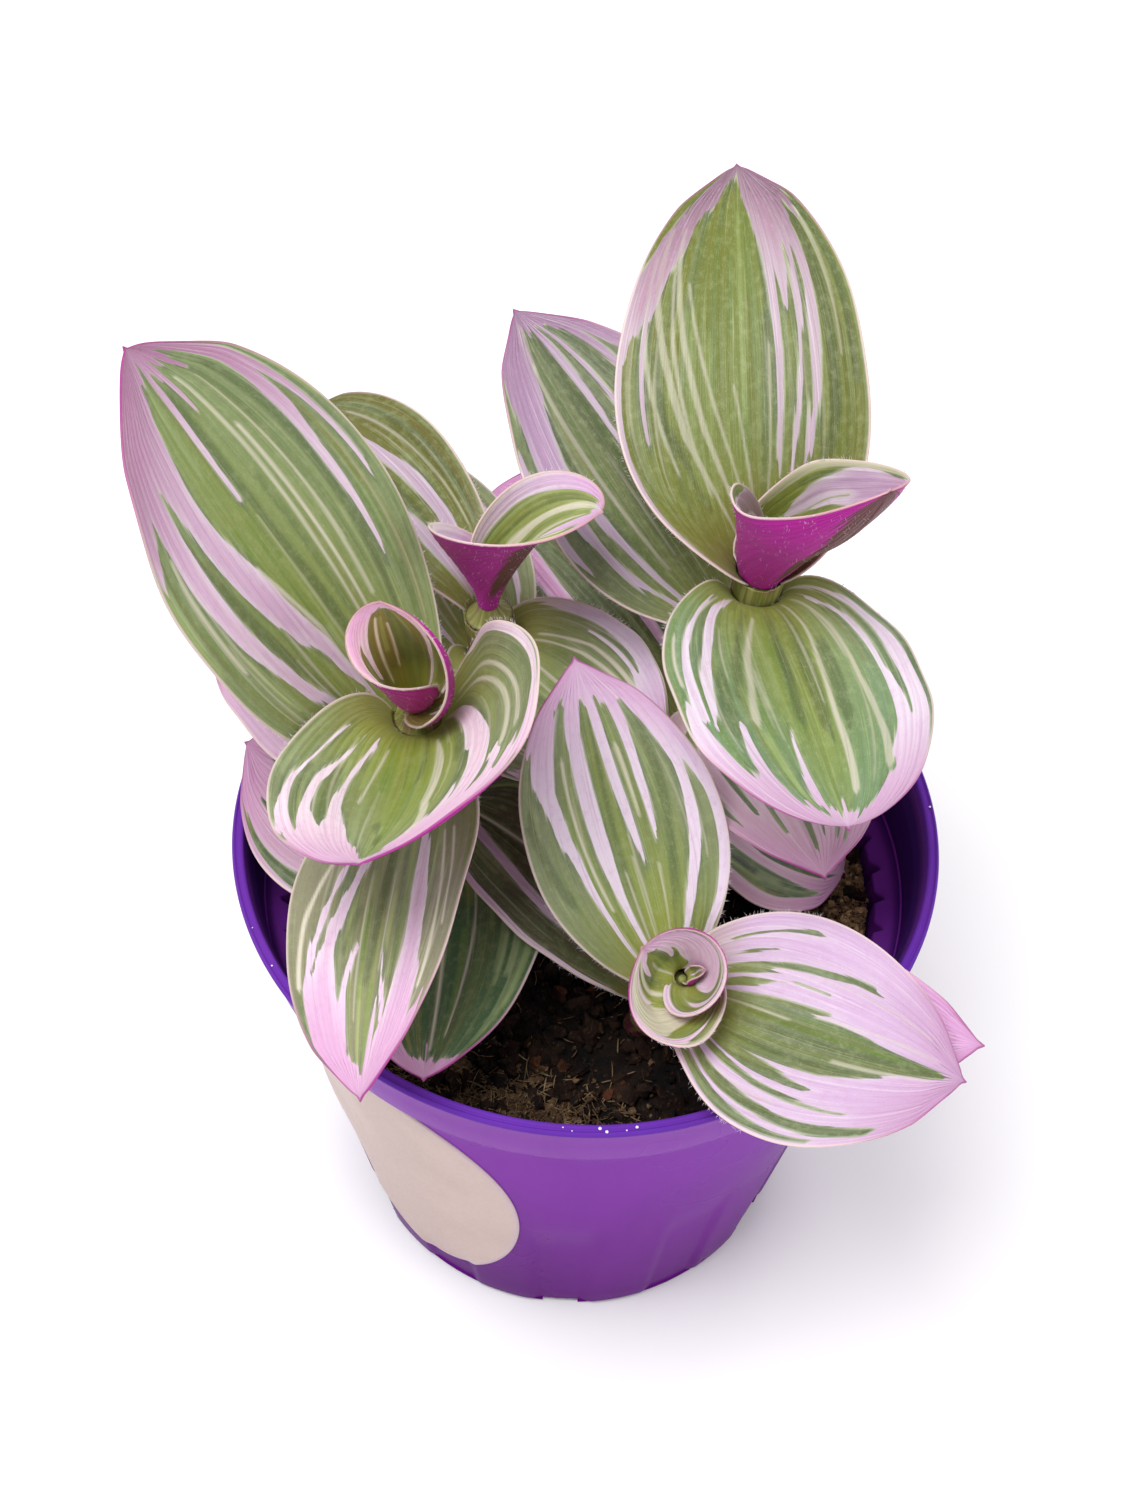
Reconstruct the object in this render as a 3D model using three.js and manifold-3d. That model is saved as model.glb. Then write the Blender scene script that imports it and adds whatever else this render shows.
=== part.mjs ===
// Potted tradescantia: a nursery pot with a blank oval label, its soil, and four leafy shoots.
// Millimetres, +Z up. The origin is the middle of the pot's foot, on the surface it stands on.
import * as THREE from 'three';
import { mergeVertices } from 'three/addons/utils/BufferGeometryUtils.js';
import Module from 'manifold-3d';

const wasm = await Module();
wasm.setup();

// Pot: a thin tapered wall, a collar under the rolled lip, and a stepped floor with drain holes.
const POT_HEIGHT = 74;
const LIP_RADIUS = 45;
const FOOT_RADIUS = 31;
const SHOULDER_RADIUS = 41.5;
const SHOULDER_HEIGHT = 63;
const WALL = 1.2;
const POT_SEGMENTS = 64;
const PAD_RADIUS = 12;
const FLOOR_RAISE = 1.8;
const FLOOR_TOP = 3.2;
const FOOT_RING_INSIDE = 24.5;
const DRAIN_HOLES = 6;
const DRAIN_RADIUS = 3;
const DRAIN_CIRCLE = 18.5;
const FOOT_NOTCHES = 6;
const NOTCH = { width: 5, depth: 9, height: 1.2 };
const PANELS = 12;
const PANEL_DEPTH = 0.5;
const PANEL_TOP = 34;
const RIBS = POT_SEGMENTS / 2;
const RIB_DEPTH = 0.9;
const RIB_TOP = 60.5;
const RIB_BOTTOM = 54;

// Label: a plain standing oval on the wall, at the left of the front.
const LABEL = { angle: 235, height: 34, halfWidth: 16.5, halfHeight: 28 };
const LABEL_THICKNESS = 0.3;
const LABEL_GAP = 0.3;

// Soil: a plug that fills the pot to 16 mm below the lip, with a hole for each stem.
const SOIL_LEVEL = 58;
const SOIL_GAP = 0.4;
const SOIL_SEGMENTS = 32;
const SOIL_RINGS = 6;
const SOIL_BUMP = 0.8;

// Shoots: each stem is one curve from its hole in the soil to its crown.
const STEM_BASE_RADIUS = 2.5;
const STEM_TIP_RADIUS = 1.6;
const STEM_SIDES = 10;
const STEM_STEPS = 8;
const STEM_GAP = 0.35;

// Leaves: every blade starts as a clasping sheath round the stem and opens from there.
const BLADE_THICKNESS = 0.8;
const SHEATH_RADIUS = 3.05;
const CROWN_SHEATH_RADIUS = 2.6;
const SHEATH_ABOVE = 0.4;
const SHEATH_SIDES = 12;
const SHEATH_START_RISE = 84;
const SHEATH_TURN = 0.05;
const BASE_OFFSET = 0.03;
const TIP_HALF_WIDTH = 0.35;
const SPINE_STEPS = 200;
const BLADE_ROWS = 8;
const BLADE_COLUMNS = 6;
const ROLLED_COLUMNS = 10;
const ROW_SPACING = 1.35;

// heading: compass angle of the blade from +X; rise: its slope at base and tip; swing: its turn
// sideways; tilt: its turn about the midrib; cup: half angle of its bend across, left and right,
// each at base and tip; roll: radius at the tip of a young leaf's left and right scroll;
// shape: exponents of the outline at base and tip; skew: extra width of the left half.
const SHOOTS = [
  {
    name: 'left',
    path: [[-15, 3, 50], [-20, 0, 77], [-21, -2.4, 99]],
    leaves: [
      { node: 98.8, heading: 91, swing: -25, rise: [92, 116], tilt: 10, length: 26, width: 28.5,
        roll: [4.4, 7.8], unroll: [0.83, 0.72], shape: [0.58, 0.86], skew: 0.02, sheath: 1 },
      { node: 95.7, heading: -81, swing: -24, rise: [30, 41], tilt: 25, length: 40, width: 40,
        cup: [[80, 2], [84, -9]], shape: [0.59, 0.73], skew: 0.19, sheath: 1 },
      { node: 88.7, heading: 149, swing: 1, rise: [60, 62], tilt: 3, length: 62, width: 35,
        cup: [[2, 11], [9, 8]], shape: [0.68, 0.64], skew: -0.01, sheath: 1 },
      { node: 85.3, heading: -96, swing: 5, rise: [17, -4], tilt: 25, length: 47, width: 25.5,
        cup: [[8, 14], [7, 7]], shape: [0.56, 0.71], skew: -0.02, sheath: 3 },
      { node: 80, heading: 148, swing: -2, rise: [27, -5], tilt: 11, length: 33, width: 25.5,
        cup: [[12, 8], [10, 6]], shape: [0.5, 0.82], skew: -0.05, sheath: 4 },
      { node: 73.5, heading: 165, swing: -8, rise: [18, 0], tilt: -7, length: 24.5, width: 30.5,
        cup: [[4, 1], [6, 2]], shape: [0.5, 0.76], skew: 0.16, sheath: 3 },
      { node: 67.5, heading: -87, swing: -2, rise: [18, 9], tilt: -2, length: 38, width: 27.5,
        cup: [[10, 4], [11, 4]], shape: [0.53, 0.7], skew: 0.01, sheath: 4 },
    ],
  },
  {
    name: 'back',
    path: [[-9, 14, 50], [-12.5, 16, 75], [-13.8, 16, 98.5]],
    leaves: [
      { node: 98, heading: -7, swing: 2, rise: [61, 50], tilt: -15, length: 22, width: 32.5,
        roll: [6.5, 11.6], unroll: [0.62, 0.48], shape: [0.45, 0.97], skew: -0.27, sheath: 1 },
      { node: 94.5, heading: 128, swing: 1, rise: [22, -28], tilt: -12, length: 45.5, width: 19.5,
        cup: [[24, 10], [20, 16]], shape: [0.72, 0.64], skew: 0.03, sheath: 2 },
      { node: 88.5, heading: -47, swing: 9, rise: [3, -13], tilt: -1, length: 26.5, width: 28.5,
        cup: [[0, -4], [2, -7]], shape: [0.41, 0.65], skew: -0.06, sheath: 2 },
      { node: 84, heading: 122, swing: 3, rise: [25, 6], tilt: 0, length: 38, width: 24,
        cup: [[12, 6], [12, 6]], shape: [0.5, 0.78], skew: 0, sheath: 4 },
      { node: 78, heading: 160, swing: 0, rise: [18, 6], tilt: 0, length: 36, width: 23,
        cup: [[10, 5], [10, 5]], shape: [0.5, 0.78], skew: 0, sheath: 5 },
      { node: 69, heading: 78, swing: 0, rise: [24, 8], tilt: 0, length: 40, width: 25,
        cup: [[10, 5], [10, 5]], shape: [0.5, 0.78], skew: 0, sheath: 5 },
    ],
  },
  {
    name: 'right',
    path: [[11, 12, 50], [17, 14, 78], [19.4, 13.5, 111.7]],
    leaves: [
      { node: 111.2, heading: -11, swing: -2, rise: [50, 68], tilt: -13, length: 19, width: 28,
        roll: [7, 12.6], unroll: [0.53, 0.63], shape: [0.45, 0.87], skew: -0.29, sheath: 1 },
      { node: 107.8, heading: 101, swing: -4, rise: [54, 3], tilt: -13, length: 51, width: 31,
        cup: [[8, 7], [35, 6]], shape: [0.41, 0.71], skew: 0.11, sheath: 1 },
      { node: 104.2, heading: -76, swing: 2, rise: [19, -12], tilt: -5, length: 36.5, width: 32,
        cup: [[3, -11], [9, -11]], shape: [0.53, 0.55], skew: -0.06, sheath: 1 },
      { node: 95, heading: 130, swing: 2, rise: [23, 9], tilt: -11, length: 50, width: 30,
        cup: [[9, 6], [15, 9]], shape: [0.49, 0.76], skew: 0.04, sheath: 6 },
      { node: 80, heading: -70, swing: -1, rise: [30, 2], tilt: 1, length: 32, width: 27.5,
        cup: [[4, -1], [3, -1]], shape: [0.5, 0.77], skew: 0.03, sheath: 3 },
      { node: 73.6, heading: 127, swing: 9, rise: [27, -21], tilt: -24, length: 48.5, width: 26,
        cup: [[16, 9], [16, 18]], shape: [0.54, 0.63], skew: -0.22, sheath: 1.2 },
      { node: 70, heading: 82, swing: 0, rise: [24, 5], tilt: 0, length: 42, width: 26,
        cup: [[10, 5], [10, 5]], shape: [0.5, 0.78], skew: 0, sheath: 1.5 },
      { node: 66, heading: -29, swing: 15, rise: [16, -33], tilt: 0, length: 21, width: 28,
        cup: [[5, 0], [5, 0]], shape: [0.58, 0.6], skew: -0.12, sheath: 3 },
    ],
  },
  {
    name: 'front',
    path: [[7, -16, 50], [10, -23, 66], [12.4, -27.3, 81.2]],
    leaves: [
      { node: 81.2, heading: 174, swing: 0, rise: [65, 55], tilt: -28, length: 7.5, width: 33,
        roll: [9.3, 6.1], unroll: [0.64, 0.83], shape: [0.48, 0.81], skew: -0.1, sheath: 1 },
      { node: 78.8, heading: -19, swing: 7, rise: [25, -1], tilt: 4, length: 33, width: 28,
        cup: [[10, 4], [9, 3]], shape: [0.5, 0.75], skew: -0.1, sheath: 0.8 },
      { node: 75.4, heading: 122, swing: -7, rise: [24, 21], tilt: -11, length: 39.5, width: 24.5,
        cup: [[18, 4], [15, 7]], shape: [0.69, 0.77], skew: -0.01, sheath: 1 },
      { node: 72.3, heading: -8, swing: 5, rise: [31.5, 6], tilt: -3, length: 36, width: 22.5,
        cup: [[8, 4], [8, 4]], shape: [0.5, 0.79], skew: -0.06, sheath: 2 },
      { node: 68, heading: 135, swing: 16, rise: [15, -18], tilt: -1, length: 34.5, width: 20.5,
        cup: [[19, 6], [15, 8]], shape: [0.74, 0.6], skew: -0.09, sheath: 4 },
    ],
  },
];

const LOOKS = {
  pot: { color: 0x6a2fa8, roughness: 0.38, metalness: 0 },
  label: { color: 0xe6d3cf, roughness: 0.55, metalness: 0 },
  soil: { color: 0x3d2c22, roughness: 0.95, metalness: 0 },
  stem: { color: 0x7f7350, roughness: 0.5, metalness: 0 },
  leaf: { color: 0xa9ae86, roughness: 0.45, metalness: 0 },
  youngLeaf: { color: 0xc98cc0, roughness: 0.42, metalness: 0 },
};

const radians = THREE.MathUtils.degToRad;
const smooth = THREE.MathUtils.smoothstep;
const mix = THREE.MathUtils.lerp;

function solidOf(geometry) {
  geometry.deleteAttribute('normal');
  geometry.deleteAttribute('uv');
  const merged = mergeVertices(geometry, 1e-4);
  const mesh = new wasm.Mesh({
    numProp: 3,
    vertProperties: new Float32Array(merged.attributes.position.array),
    triVerts: new Uint32Array(merged.index.array),
  });
  return new wasm.Manifold(mesh);
}

function geometryOf(solid) {
  const mesh = solid.getMesh();
  const geometry = new THREE.BufferGeometry();
  geometry.setAttribute('position', new THREE.BufferAttribute(mesh.vertProperties, mesh.numProp));
  geometry.setIndex(new THREE.BufferAttribute(mesh.triVerts, 1));
  geometry.computeVertexNormals();
  return geometry;
}

function meshOf(name, geometry, look) {
  const mesh = new THREE.Mesh(geometry, new THREE.MeshStandardMaterial(look));
  mesh.name = name;
  return mesh;
}

// A closed sheet of even thickness about a grid of points, with the same diagonals on both faces.
function sheetGeometry(grid, thickness) {
  const rows = grid.length;
  const columns = grid[0].length;
  const along = new THREE.Vector3();
  const across = new THREE.Vector3();
  const faces = [[], []];
  for (let i = 0; i < rows; i += 1) {
    for (let j = 0; j < columns; j += 1) {
      along.subVectors(grid[Math.min(i + 1, rows - 1)][j], grid[Math.max(i - 1, 0)][j]);
      across.subVectors(grid[i][Math.min(j + 1, columns - 1)], grid[i][Math.max(j - 1, 0)]);
      const normal = along.clone().cross(across).normalize();
      faces[0].push(grid[i][j].clone().addScaledVector(normal, thickness / 2));
      faces[1].push(grid[i][j].clone().addScaledVector(normal, -thickness / 2));
    }
  }
  const back = rows * columns;
  const at = (i, j) => i * columns + j;
  const index = [];
  for (let i = 0; i + 1 < rows; i += 1) {
    for (let j = 0; j + 1 < columns; j += 1) {
      const [a, b, c, d] = [at(i, j), at(i + 1, j), at(i + 1, j + 1), at(i, j + 1)];
      index.push(a, b, c, a, c, d);
      index.push(back + a, back + c, back + b, back + a, back + d, back + c);
    }
  }
  const edge = [];
  const ends = [[0, 0], [rows - 1, 0], [rows - 1, columns - 1], [0, columns - 1]];
  ends.forEach(([i, j], k) => {
    const [nextI, nextJ] = ends[(k + 1) % ends.length];
    const steps = Math.abs(nextI - i) + Math.abs(nextJ - j);
    for (let n = 0; n < steps; n += 1) {
      edge.push(at(i + n * Math.sign(nextI - i), j + n * Math.sign(nextJ - j)));
    }
  });
  edge.forEach((a, k) => {
    const b = edge[(k + 1) % edge.length];
    index.push(b, a, back + a, b, back + a, back + b);
  });
  const geometry = new THREE.BufferGeometry().setFromPoints([...faces[0], ...faces[1]]);
  geometry.setIndex(index);
  return geometry;
}

// Pot

const wallRadius = (z) => mix(FOOT_RADIUS, SHOULDER_RADIUS, z / SHOULDER_HEIGHT);

function potOutline() {
  const wallHeights = [14, PANEL_TOP - 8, PANEL_TOP, SHOULDER_HEIGHT];
  const innerHeights = [RIB_TOP, RIB_TOP - 0.6, RIB_BOTTOM, RIB_BOTTOM - 1.2];
  const under = [
    [0, 0], [PAD_RADIUS, 0], [PAD_RADIUS + 1, FLOOR_RAISE],
    [FOOT_RING_INSIDE - 1, FLOOR_RAISE], [FOOT_RING_INSIDE, 0], [FOOT_RADIUS - 0.8, 0],
    [FOOT_RADIUS, 0.8],
  ];
  const outside = wallHeights.map((z) => [wallRadius(z), z]);
  const lip = [
    [SHOULDER_RADIUS + 1.1, SHOULDER_HEIGHT + 0.6], [LIP_RADIUS - 1.7, POT_HEIGHT - 3],
    [LIP_RADIUS - 0.5, POT_HEIGHT - 2.4], [LIP_RADIUS, POT_HEIGHT - 1.5],
    [LIP_RADIUS - 0.4, POT_HEIGHT - 0.3], [LIP_RADIUS - 1.4, POT_HEIGHT],
    [LIP_RADIUS - 2.5, POT_HEIGHT - 1],
  ];
  const ledge = [[SHOULDER_RADIUS + 0.2, SHOULDER_HEIGHT], [SHOULDER_RADIUS - 1, RIB_TOP + 1.3]];
  const inside = innerHeights.map((z) => [wallRadius(z) - WALL, z]);
  const floor = [
    [wallRadius(FLOOR_TOP + 1) - WALL, FLOOR_TOP + 1], [FOOT_RADIUS - 1.8, 2.4],
    [FOOT_RING_INSIDE + 0.6, 2.4],
    [FOOT_RING_INSIDE - 0.4, FLOOR_TOP], [PAD_RADIUS + 1.4, FLOOR_TOP], [PAD_RADIUS, 1.4], [0, 1.4],
  ];
  const points = [...under, ...outside, ...lip, ...ledge, ...inside, ...floor];
  return points.map(([radius, z]) => new THREE.Vector2(radius, z));
}

// Shallow upright panels sink into the lower wall, and short stacking ribs stand inside.
function panelDepth(angle, z) {
  const wave = Math.cos(PANELS * angle);
  return PANEL_DEPTH * smooth(wave, -0.2, 0.5) * (1 - smooth(z, PANEL_TOP - 8, PANEL_TOP));
}

function shapeWall(geometry) {
  const position = geometry.attributes.position;
  const point = new THREE.Vector3();
  for (let i = 0; i < position.count; i += 1) {
    point.fromBufferAttribute(position, i);
    const radius = Math.hypot(point.x, point.y);
    const angle = Math.atan2(point.y, point.x);
    const outside = point.z > 0.5 && radius > wallRadius(point.z) - 0.1;
    const ribbed = !outside && point.z < RIB_TOP && point.z >= RIB_BOTTOM;
    const onRib = Math.round((angle / Math.PI) * RIBS) % 2 === 0;
    let change = 0;
    if (outside && point.z < PANEL_TOP) change = -panelDepth(angle, point.z);
    if (ribbed && onRib) change = -RIB_DEPTH;
    const scale = radius > 0 ? (radius + change) / radius : 1;
    position.setXY(i, point.x * scale, point.y * scale);
  }
}

function makePot() {
  const lathe = new THREE.LatheGeometry(potOutline(), POT_SEGMENTS);
  lathe.rotateX(Math.PI / 2);
  lathe.deleteAttribute('normal');
  lathe.deleteAttribute('uv');
  const shell = mergeVertices(lathe, 1e-4);
  shapeWall(shell);
  let pot = solidOf(shell);
  for (let k = 0; k < DRAIN_HOLES; k += 1) {
    const hole = new THREE.CylinderGeometry(DRAIN_RADIUS, DRAIN_RADIUS, 12, 16);
    hole.rotateX(Math.PI / 2);
    hole.translate(DRAIN_CIRCLE, 0, FLOOR_RAISE);
    hole.rotateZ((2 * Math.PI * k) / DRAIN_HOLES);
    pot = pot.subtract(solidOf(hole));
  }
  for (let k = 0; k < FOOT_NOTCHES; k += 1) {
    const notch = new THREE.BoxGeometry(NOTCH.depth, NOTCH.width, 2 * NOTCH.height);
    notch.translate(FOOT_RADIUS - 2, 0, 0);
    notch.rotateZ((2 * Math.PI * (k + 0.5)) / FOOT_NOTCHES);
    pot = pot.subtract(solidOf(notch));
  }
  return meshOf('pot', geometryOf(pot), LOOKS.pot);
}

function makeLabel() {
  const cells = 8;
  const grid = [];
  for (let i = 0; i <= cells; i += 1) {
    const v = (2 * i) / cells - 1;
    grid.push([]);
    for (let j = 0; j <= cells; j += 1) {
      const u = (2 * j) / cells - 1;
      const x = u * Math.sqrt(1 - (v * v) / 2);
      const y = v * Math.sqrt(1 - (u * u) / 2);
      const z = LABEL.height + LABEL.halfHeight * y;
      const radius = wallRadius(z) + LABEL_GAP + LABEL_THICKNESS / 2;
      const angle = radians(LABEL.angle) + (LABEL.halfWidth * x) / wallRadius(LABEL.height);
      grid[i].push(new THREE.Vector3(radius * Math.cos(angle), radius * Math.sin(angle), z));
    }
  }
  return meshOf('label', geometryOf(solidOf(sheetGeometry(grid, LABEL_THICKNESS))), LOOKS.label);
}

// Soil

function soilHeight(x, y) {
  const swell = Math.sin(x * 0.21 + 1.3) * Math.cos(y * 0.17 - 0.4);
  const crumbs = Math.sin(x * 0.83 + y * 0.31) * Math.sin(y * 0.71 - x * 0.27 + 2);
  return SOIL_LEVEL + SOIL_BUMP * (0.9 * swell + 0.7 * crumbs);
}

function makeSoil(stems) {
  const innerRadius = (z) => wallRadius(z) - WALL - SOIL_GAP;
  const edge = innerRadius(RIB_BOTTOM) - RIB_DEPTH;
  const outline = [
    [0, FLOOR_TOP + SOIL_GAP], [FOOT_RADIUS - WALL - 1.4, FLOOR_TOP + SOIL_GAP],
    [innerRadius(8), 8], [innerRadius(RIB_BOTTOM - 2), RIB_BOTTOM - 2], [edge, RIB_BOTTOM - 0.6],
  ];
  for (let k = SOIL_RINGS; k >= 0; k -= 1) outline.push([(edge * k) / SOIL_RINGS, SOIL_LEVEL]);
  const points = outline.map(([radius, z]) => new THREE.Vector2(radius, z));
  const lathe = new THREE.LatheGeometry(points, SOIL_SEGMENTS);
  lathe.rotateX(Math.PI / 2);
  const position = lathe.attributes.position;
  for (let i = 0; i < position.count; i += 1) {
    const onTop = position.getZ(i) > SOIL_LEVEL - 1;
    if (onTop) position.setZ(i, soilHeight(position.getX(i), position.getY(i)));
  }
  let soil = solidOf(lathe);
  stems.forEach((curve) => {
    const hole = stemGeometry(curve, STEM_GAP);
    hole.translate(...curve.getTangent(0).multiplyScalar(-STEM_GAP));
    soil = soil.subtract(solidOf(hole));
  });
  return meshOf('soil', geometryOf(soil), LOOKS.soil);
}

// Stems

function stemGeometry(curve, swell) {
  const geometry = new THREE.CylinderGeometry(
    STEM_TIP_RADIUS + swell, STEM_BASE_RADIUS + swell, 1, STEM_SIDES, STEM_STEPS);
  const position = geometry.attributes.position;
  const point = new THREE.Vector3();
  for (let i = 0; i < position.count; i += 1) {
    point.fromBufferAttribute(position, i);
    const t = point.y + 0.5;
    const frame = stemFrame(curve, t);
    point.y = 0;
    const offset = new THREE.Vector3(point.x, point.z === 0 ? 0 : -point.z, 0);
    offset.applyMatrix4(frame);
    position.setXYZ(i, offset.x, offset.y, offset.z);
  }
  return geometry;
}

function stemFrame(curve, t) {
  const up = curve.getTangent(t);
  const side = new THREE.Vector3(0, 1, 0).cross(up).normalize();
  const other = up.clone().cross(side);
  return new THREE.Matrix4().makeBasis(side, other, up).setPosition(curve.getPoint(t));
}

function stemTimeAt(curve, z) {
  const bend = curve.v0.z - 2 * curve.v1.z + curve.v2.z;
  const slope = 2 * (curve.v1.z - curve.v0.z);
  const drop = curve.v0.z - z;
  if (Math.abs(bend) < 1e-6) return -drop / slope;
  return (Math.sqrt(slope * slope - 4 * bend * drop) - slope) / (2 * bend);
}

// Leaves

function outlineWidth(s, [base, tip]) {
  const curve = (x) => (x + BASE_OFFSET) ** base * Math.max(1 - x, 0) ** tip;
  const widest = (base - tip * BASE_OFFSET) / (base + tip);
  return curve(s) / curve(widest);
}

// The midrib: points and frames along the blade, in the frame of the stem at the leaf's node.
function midrib(leaf, sheathRadius) {
  const [baseRise, tipRise] = leaf.rise.map(radians);
  const start = radians(SHEATH_START_RISE);
  const heading0 = radians(leaf.heading);
  const point = new THREE.Vector3(Math.cos(heading0), Math.sin(heading0), 0);
  point.multiplyScalar(sheathRadius);
  const frames = [];
  let before = null;
  for (let k = 0; k <= SPINE_STEPS; k += 1) {
    const s = k / SPINE_STEPS;
    const rise = mix(baseRise, tipRise, s) + (start - baseRise) * Math.exp(-s / SHEATH_TURN);
    const heading = radians(leaf.heading + leaf.swing * s);
    const level = new THREE.Vector3(Math.cos(heading), Math.sin(heading), 0);
    const ahead = level.multiplyScalar(Math.cos(rise)).setZ(Math.sin(rise));
    const left = new THREE.Vector3(-Math.sin(heading), Math.cos(heading), 0);
    const over = ahead.clone().cross(left);
    const tilt = radians(leaf.tilt) * (1 - Math.exp(-((s / 0.12) ** 1.5)));
    if (before) point.addScaledVector(before.add(ahead), (leaf.length / SPINE_STEPS) / 2);
    before = ahead.clone();
    frames.push({
      point: point.clone(),
      left: left.clone().multiplyScalar(Math.cos(tilt)).addScaledVector(over, Math.sin(tilt)),
      over: over.clone().multiplyScalar(Math.cos(tilt)).addScaledVector(left, -Math.sin(tilt)),
    });
  }
  return frames;
}

function bladePoint(leaf, sheathRadius, frame, s, u) {
  const side = u >= 0 ? 0 : 1;
  const plain = Math.max((leaf.width / 2) * outlineWidth(s, leaf.shape), TIP_HALF_WIDTH);
  const lean = (side === 0 ? 1 : -1) * leaf.skew * (1 - Math.exp(-s / 0.15));
  const half = plain * (1 + lean);
  const clasp = ((leaf.width / 2) * outlineWidth(0, leaf.shape)) / sheathRadius;
  let bend = 0;
  let fold = 0;
  if (leaf.roll) {
    bend = half / mix(sheathRadius, leaf.roll[side], s ** leaf.unroll[side]);
  } else {
    const open = radians(mix(leaf.cup[side][0], leaf.cup[side][1], s));
    bend = open + (clasp - open) * Math.exp(-s / 0.07);
    fold = radians(6) * (1 - Math.exp(-s / 0.1));
  }
  if (Math.abs(bend) < 1e-4) bend = 1e-4;
  const radius = half / bend;
  const sideways = radius * Math.sin(u * bend);
  const upward = radius * (1 - Math.cos(u * bend));
  const across = sideways * Math.cos(fold) - Math.sign(u) * upward * Math.sin(fold);
  const above = Math.abs(sideways) * Math.sin(fold) + upward * Math.cos(fold);
  return frame.point.clone().addScaledVector(frame.left, across).addScaledVector(frame.over, above);
}

function leafGeometry(leaf) {
  const sheathRadius = leaf.roll ? CROWN_SHEATH_RADIUS : SHEATH_RADIUS;
  const frames = midrib(leaf, sheathRadius);
  const columns = leaf.roll ? ROLLED_COLUMNS : BLADE_COLUMNS;
  const grid = [];
  for (let i = 0; i <= BLADE_ROWS; i += 1) {
    const step = Math.round(SPINE_STEPS * (i / BLADE_ROWS) ** ROW_SPACING);
    const row = [];
    for (let j = 0; j <= columns; j += 1) {
      const u = (2 * j) / columns - 1;
      row.push(bladePoint(leaf, sheathRadius, frames[step], step / SPINE_STEPS, u));
    }
    grid.push(row.reverse());
  }
  const blade = solidOf(sheetGeometry(grid, BLADE_THICKNESS));
  const inner = sheathRadius - BLADE_THICKNESS / 2 - 0.05;
  const outer = sheathRadius + BLADE_THICKNESS / 2 + 0.1;
  const ring = [[inner, -leaf.sheath], [outer, -leaf.sheath], [outer, SHEATH_ABOVE],
    [inner, SHEATH_ABOVE], [inner, -leaf.sheath]];
  const points = ring.map(([radius, z]) => new THREE.Vector2(radius, z));
  const sheath = new THREE.LatheGeometry(points, SHEATH_SIDES).rotateX(Math.PI / 2);
  return geometryOf(blade.add(solidOf(sheath)));
}

function makeLeaf(name, curve, leaf) {
  const look = leaf.roll ? LOOKS.youngLeaf : LOOKS.leaf;
  const mesh = meshOf(name, leafGeometry(leaf), look);
  const frame = stemFrame(curve, stemTimeAt(curve, leaf.node));
  mesh.quaternion.setFromRotationMatrix(frame);
  mesh.position.setFromMatrixPosition(frame);
  return mesh;
}

function makeShoot(shoot, curve) {
  const group = new THREE.Group();
  group.add(meshOf(`${shoot.name}_stem`, geometryOf(solidOf(stemGeometry(curve, 0))), LOOKS.stem));
  shoot.leaves.forEach((leaf, k) => {
    group.add(makeLeaf(`${shoot.name}_leaf_${k + 1}`, curve, leaf));
  });
  return group;
}

const curves = SHOOTS.map(({ path }) => {
  const points = path.map((values) => new THREE.Vector3(...values));
  return new THREE.QuadraticBezierCurve3(...points);
});

const plant = new THREE.Group();
plant.add(makePot(), makeLabel(), makeSoil(curves));
SHOOTS.forEach((shoot, k) => plant.add(makeShoot(shoot, curves[k])));

export default plant;
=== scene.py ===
import math

import bmesh
import bpy
import numpy as np
from mathutils import Matrix


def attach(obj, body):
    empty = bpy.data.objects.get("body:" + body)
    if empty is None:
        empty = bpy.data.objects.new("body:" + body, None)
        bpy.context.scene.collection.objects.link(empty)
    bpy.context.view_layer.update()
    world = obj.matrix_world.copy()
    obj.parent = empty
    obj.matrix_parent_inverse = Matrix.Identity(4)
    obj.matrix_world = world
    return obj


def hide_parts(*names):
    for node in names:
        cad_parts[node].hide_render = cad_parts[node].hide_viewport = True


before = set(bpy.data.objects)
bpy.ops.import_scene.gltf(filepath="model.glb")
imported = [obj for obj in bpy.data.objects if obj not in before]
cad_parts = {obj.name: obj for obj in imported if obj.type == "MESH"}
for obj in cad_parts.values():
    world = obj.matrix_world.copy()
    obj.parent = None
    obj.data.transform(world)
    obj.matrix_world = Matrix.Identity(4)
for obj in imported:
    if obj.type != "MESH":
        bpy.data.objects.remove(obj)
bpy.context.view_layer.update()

MM = 0.001
TINY = 1e-9
# Seeds of the random draws. Stems, blades, buds and sheaths add their index to theirs.
SEEDS = dict(stem=300, blade=500, bud=800, sheath=900, hairs=77, label=12, soil=5, fibres=31)

# --- Driving sizes, as in the solids -----------------------------------------------------------

POT_HEIGHT = 74
LIP_RADIUS = 45
FOOT_RADIUS = 31
SHOULDER_RADIUS = 41.5
SHOULDER_HEIGHT = 63
WALL = 1.2
# Under the floor: a pad in the middle, then a floor that is raised between it and the foot ring.
PAD_RADIUS = 12
FLOOR_RAISE = 1.8
FLOOR_TOP = 3.2
FOOT_RING_INSIDE = 24.5
DRAIN_HOLES = 6
DRAIN_RADIUS = 3
DRAIN_CIRCLE = 18.5
FOOT_NOTCHES = 6
NOTCH_DEPTH, NOTCH_WIDTH, NOTCH_HEIGHT = 9, 5, 1.2
# Upright panels in the lower wall, and saw-toothed ribs inside, under the shoulder.
PANELS = 12
PANEL_DEPTH = 0.5
PANEL_TOP = 34
RIBS = 50
RIB_DEPTH = 1.3
RIB_TOP = 60.5
RIB_BOTTOM = 54
POT_SEGMENTS = 512

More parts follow.
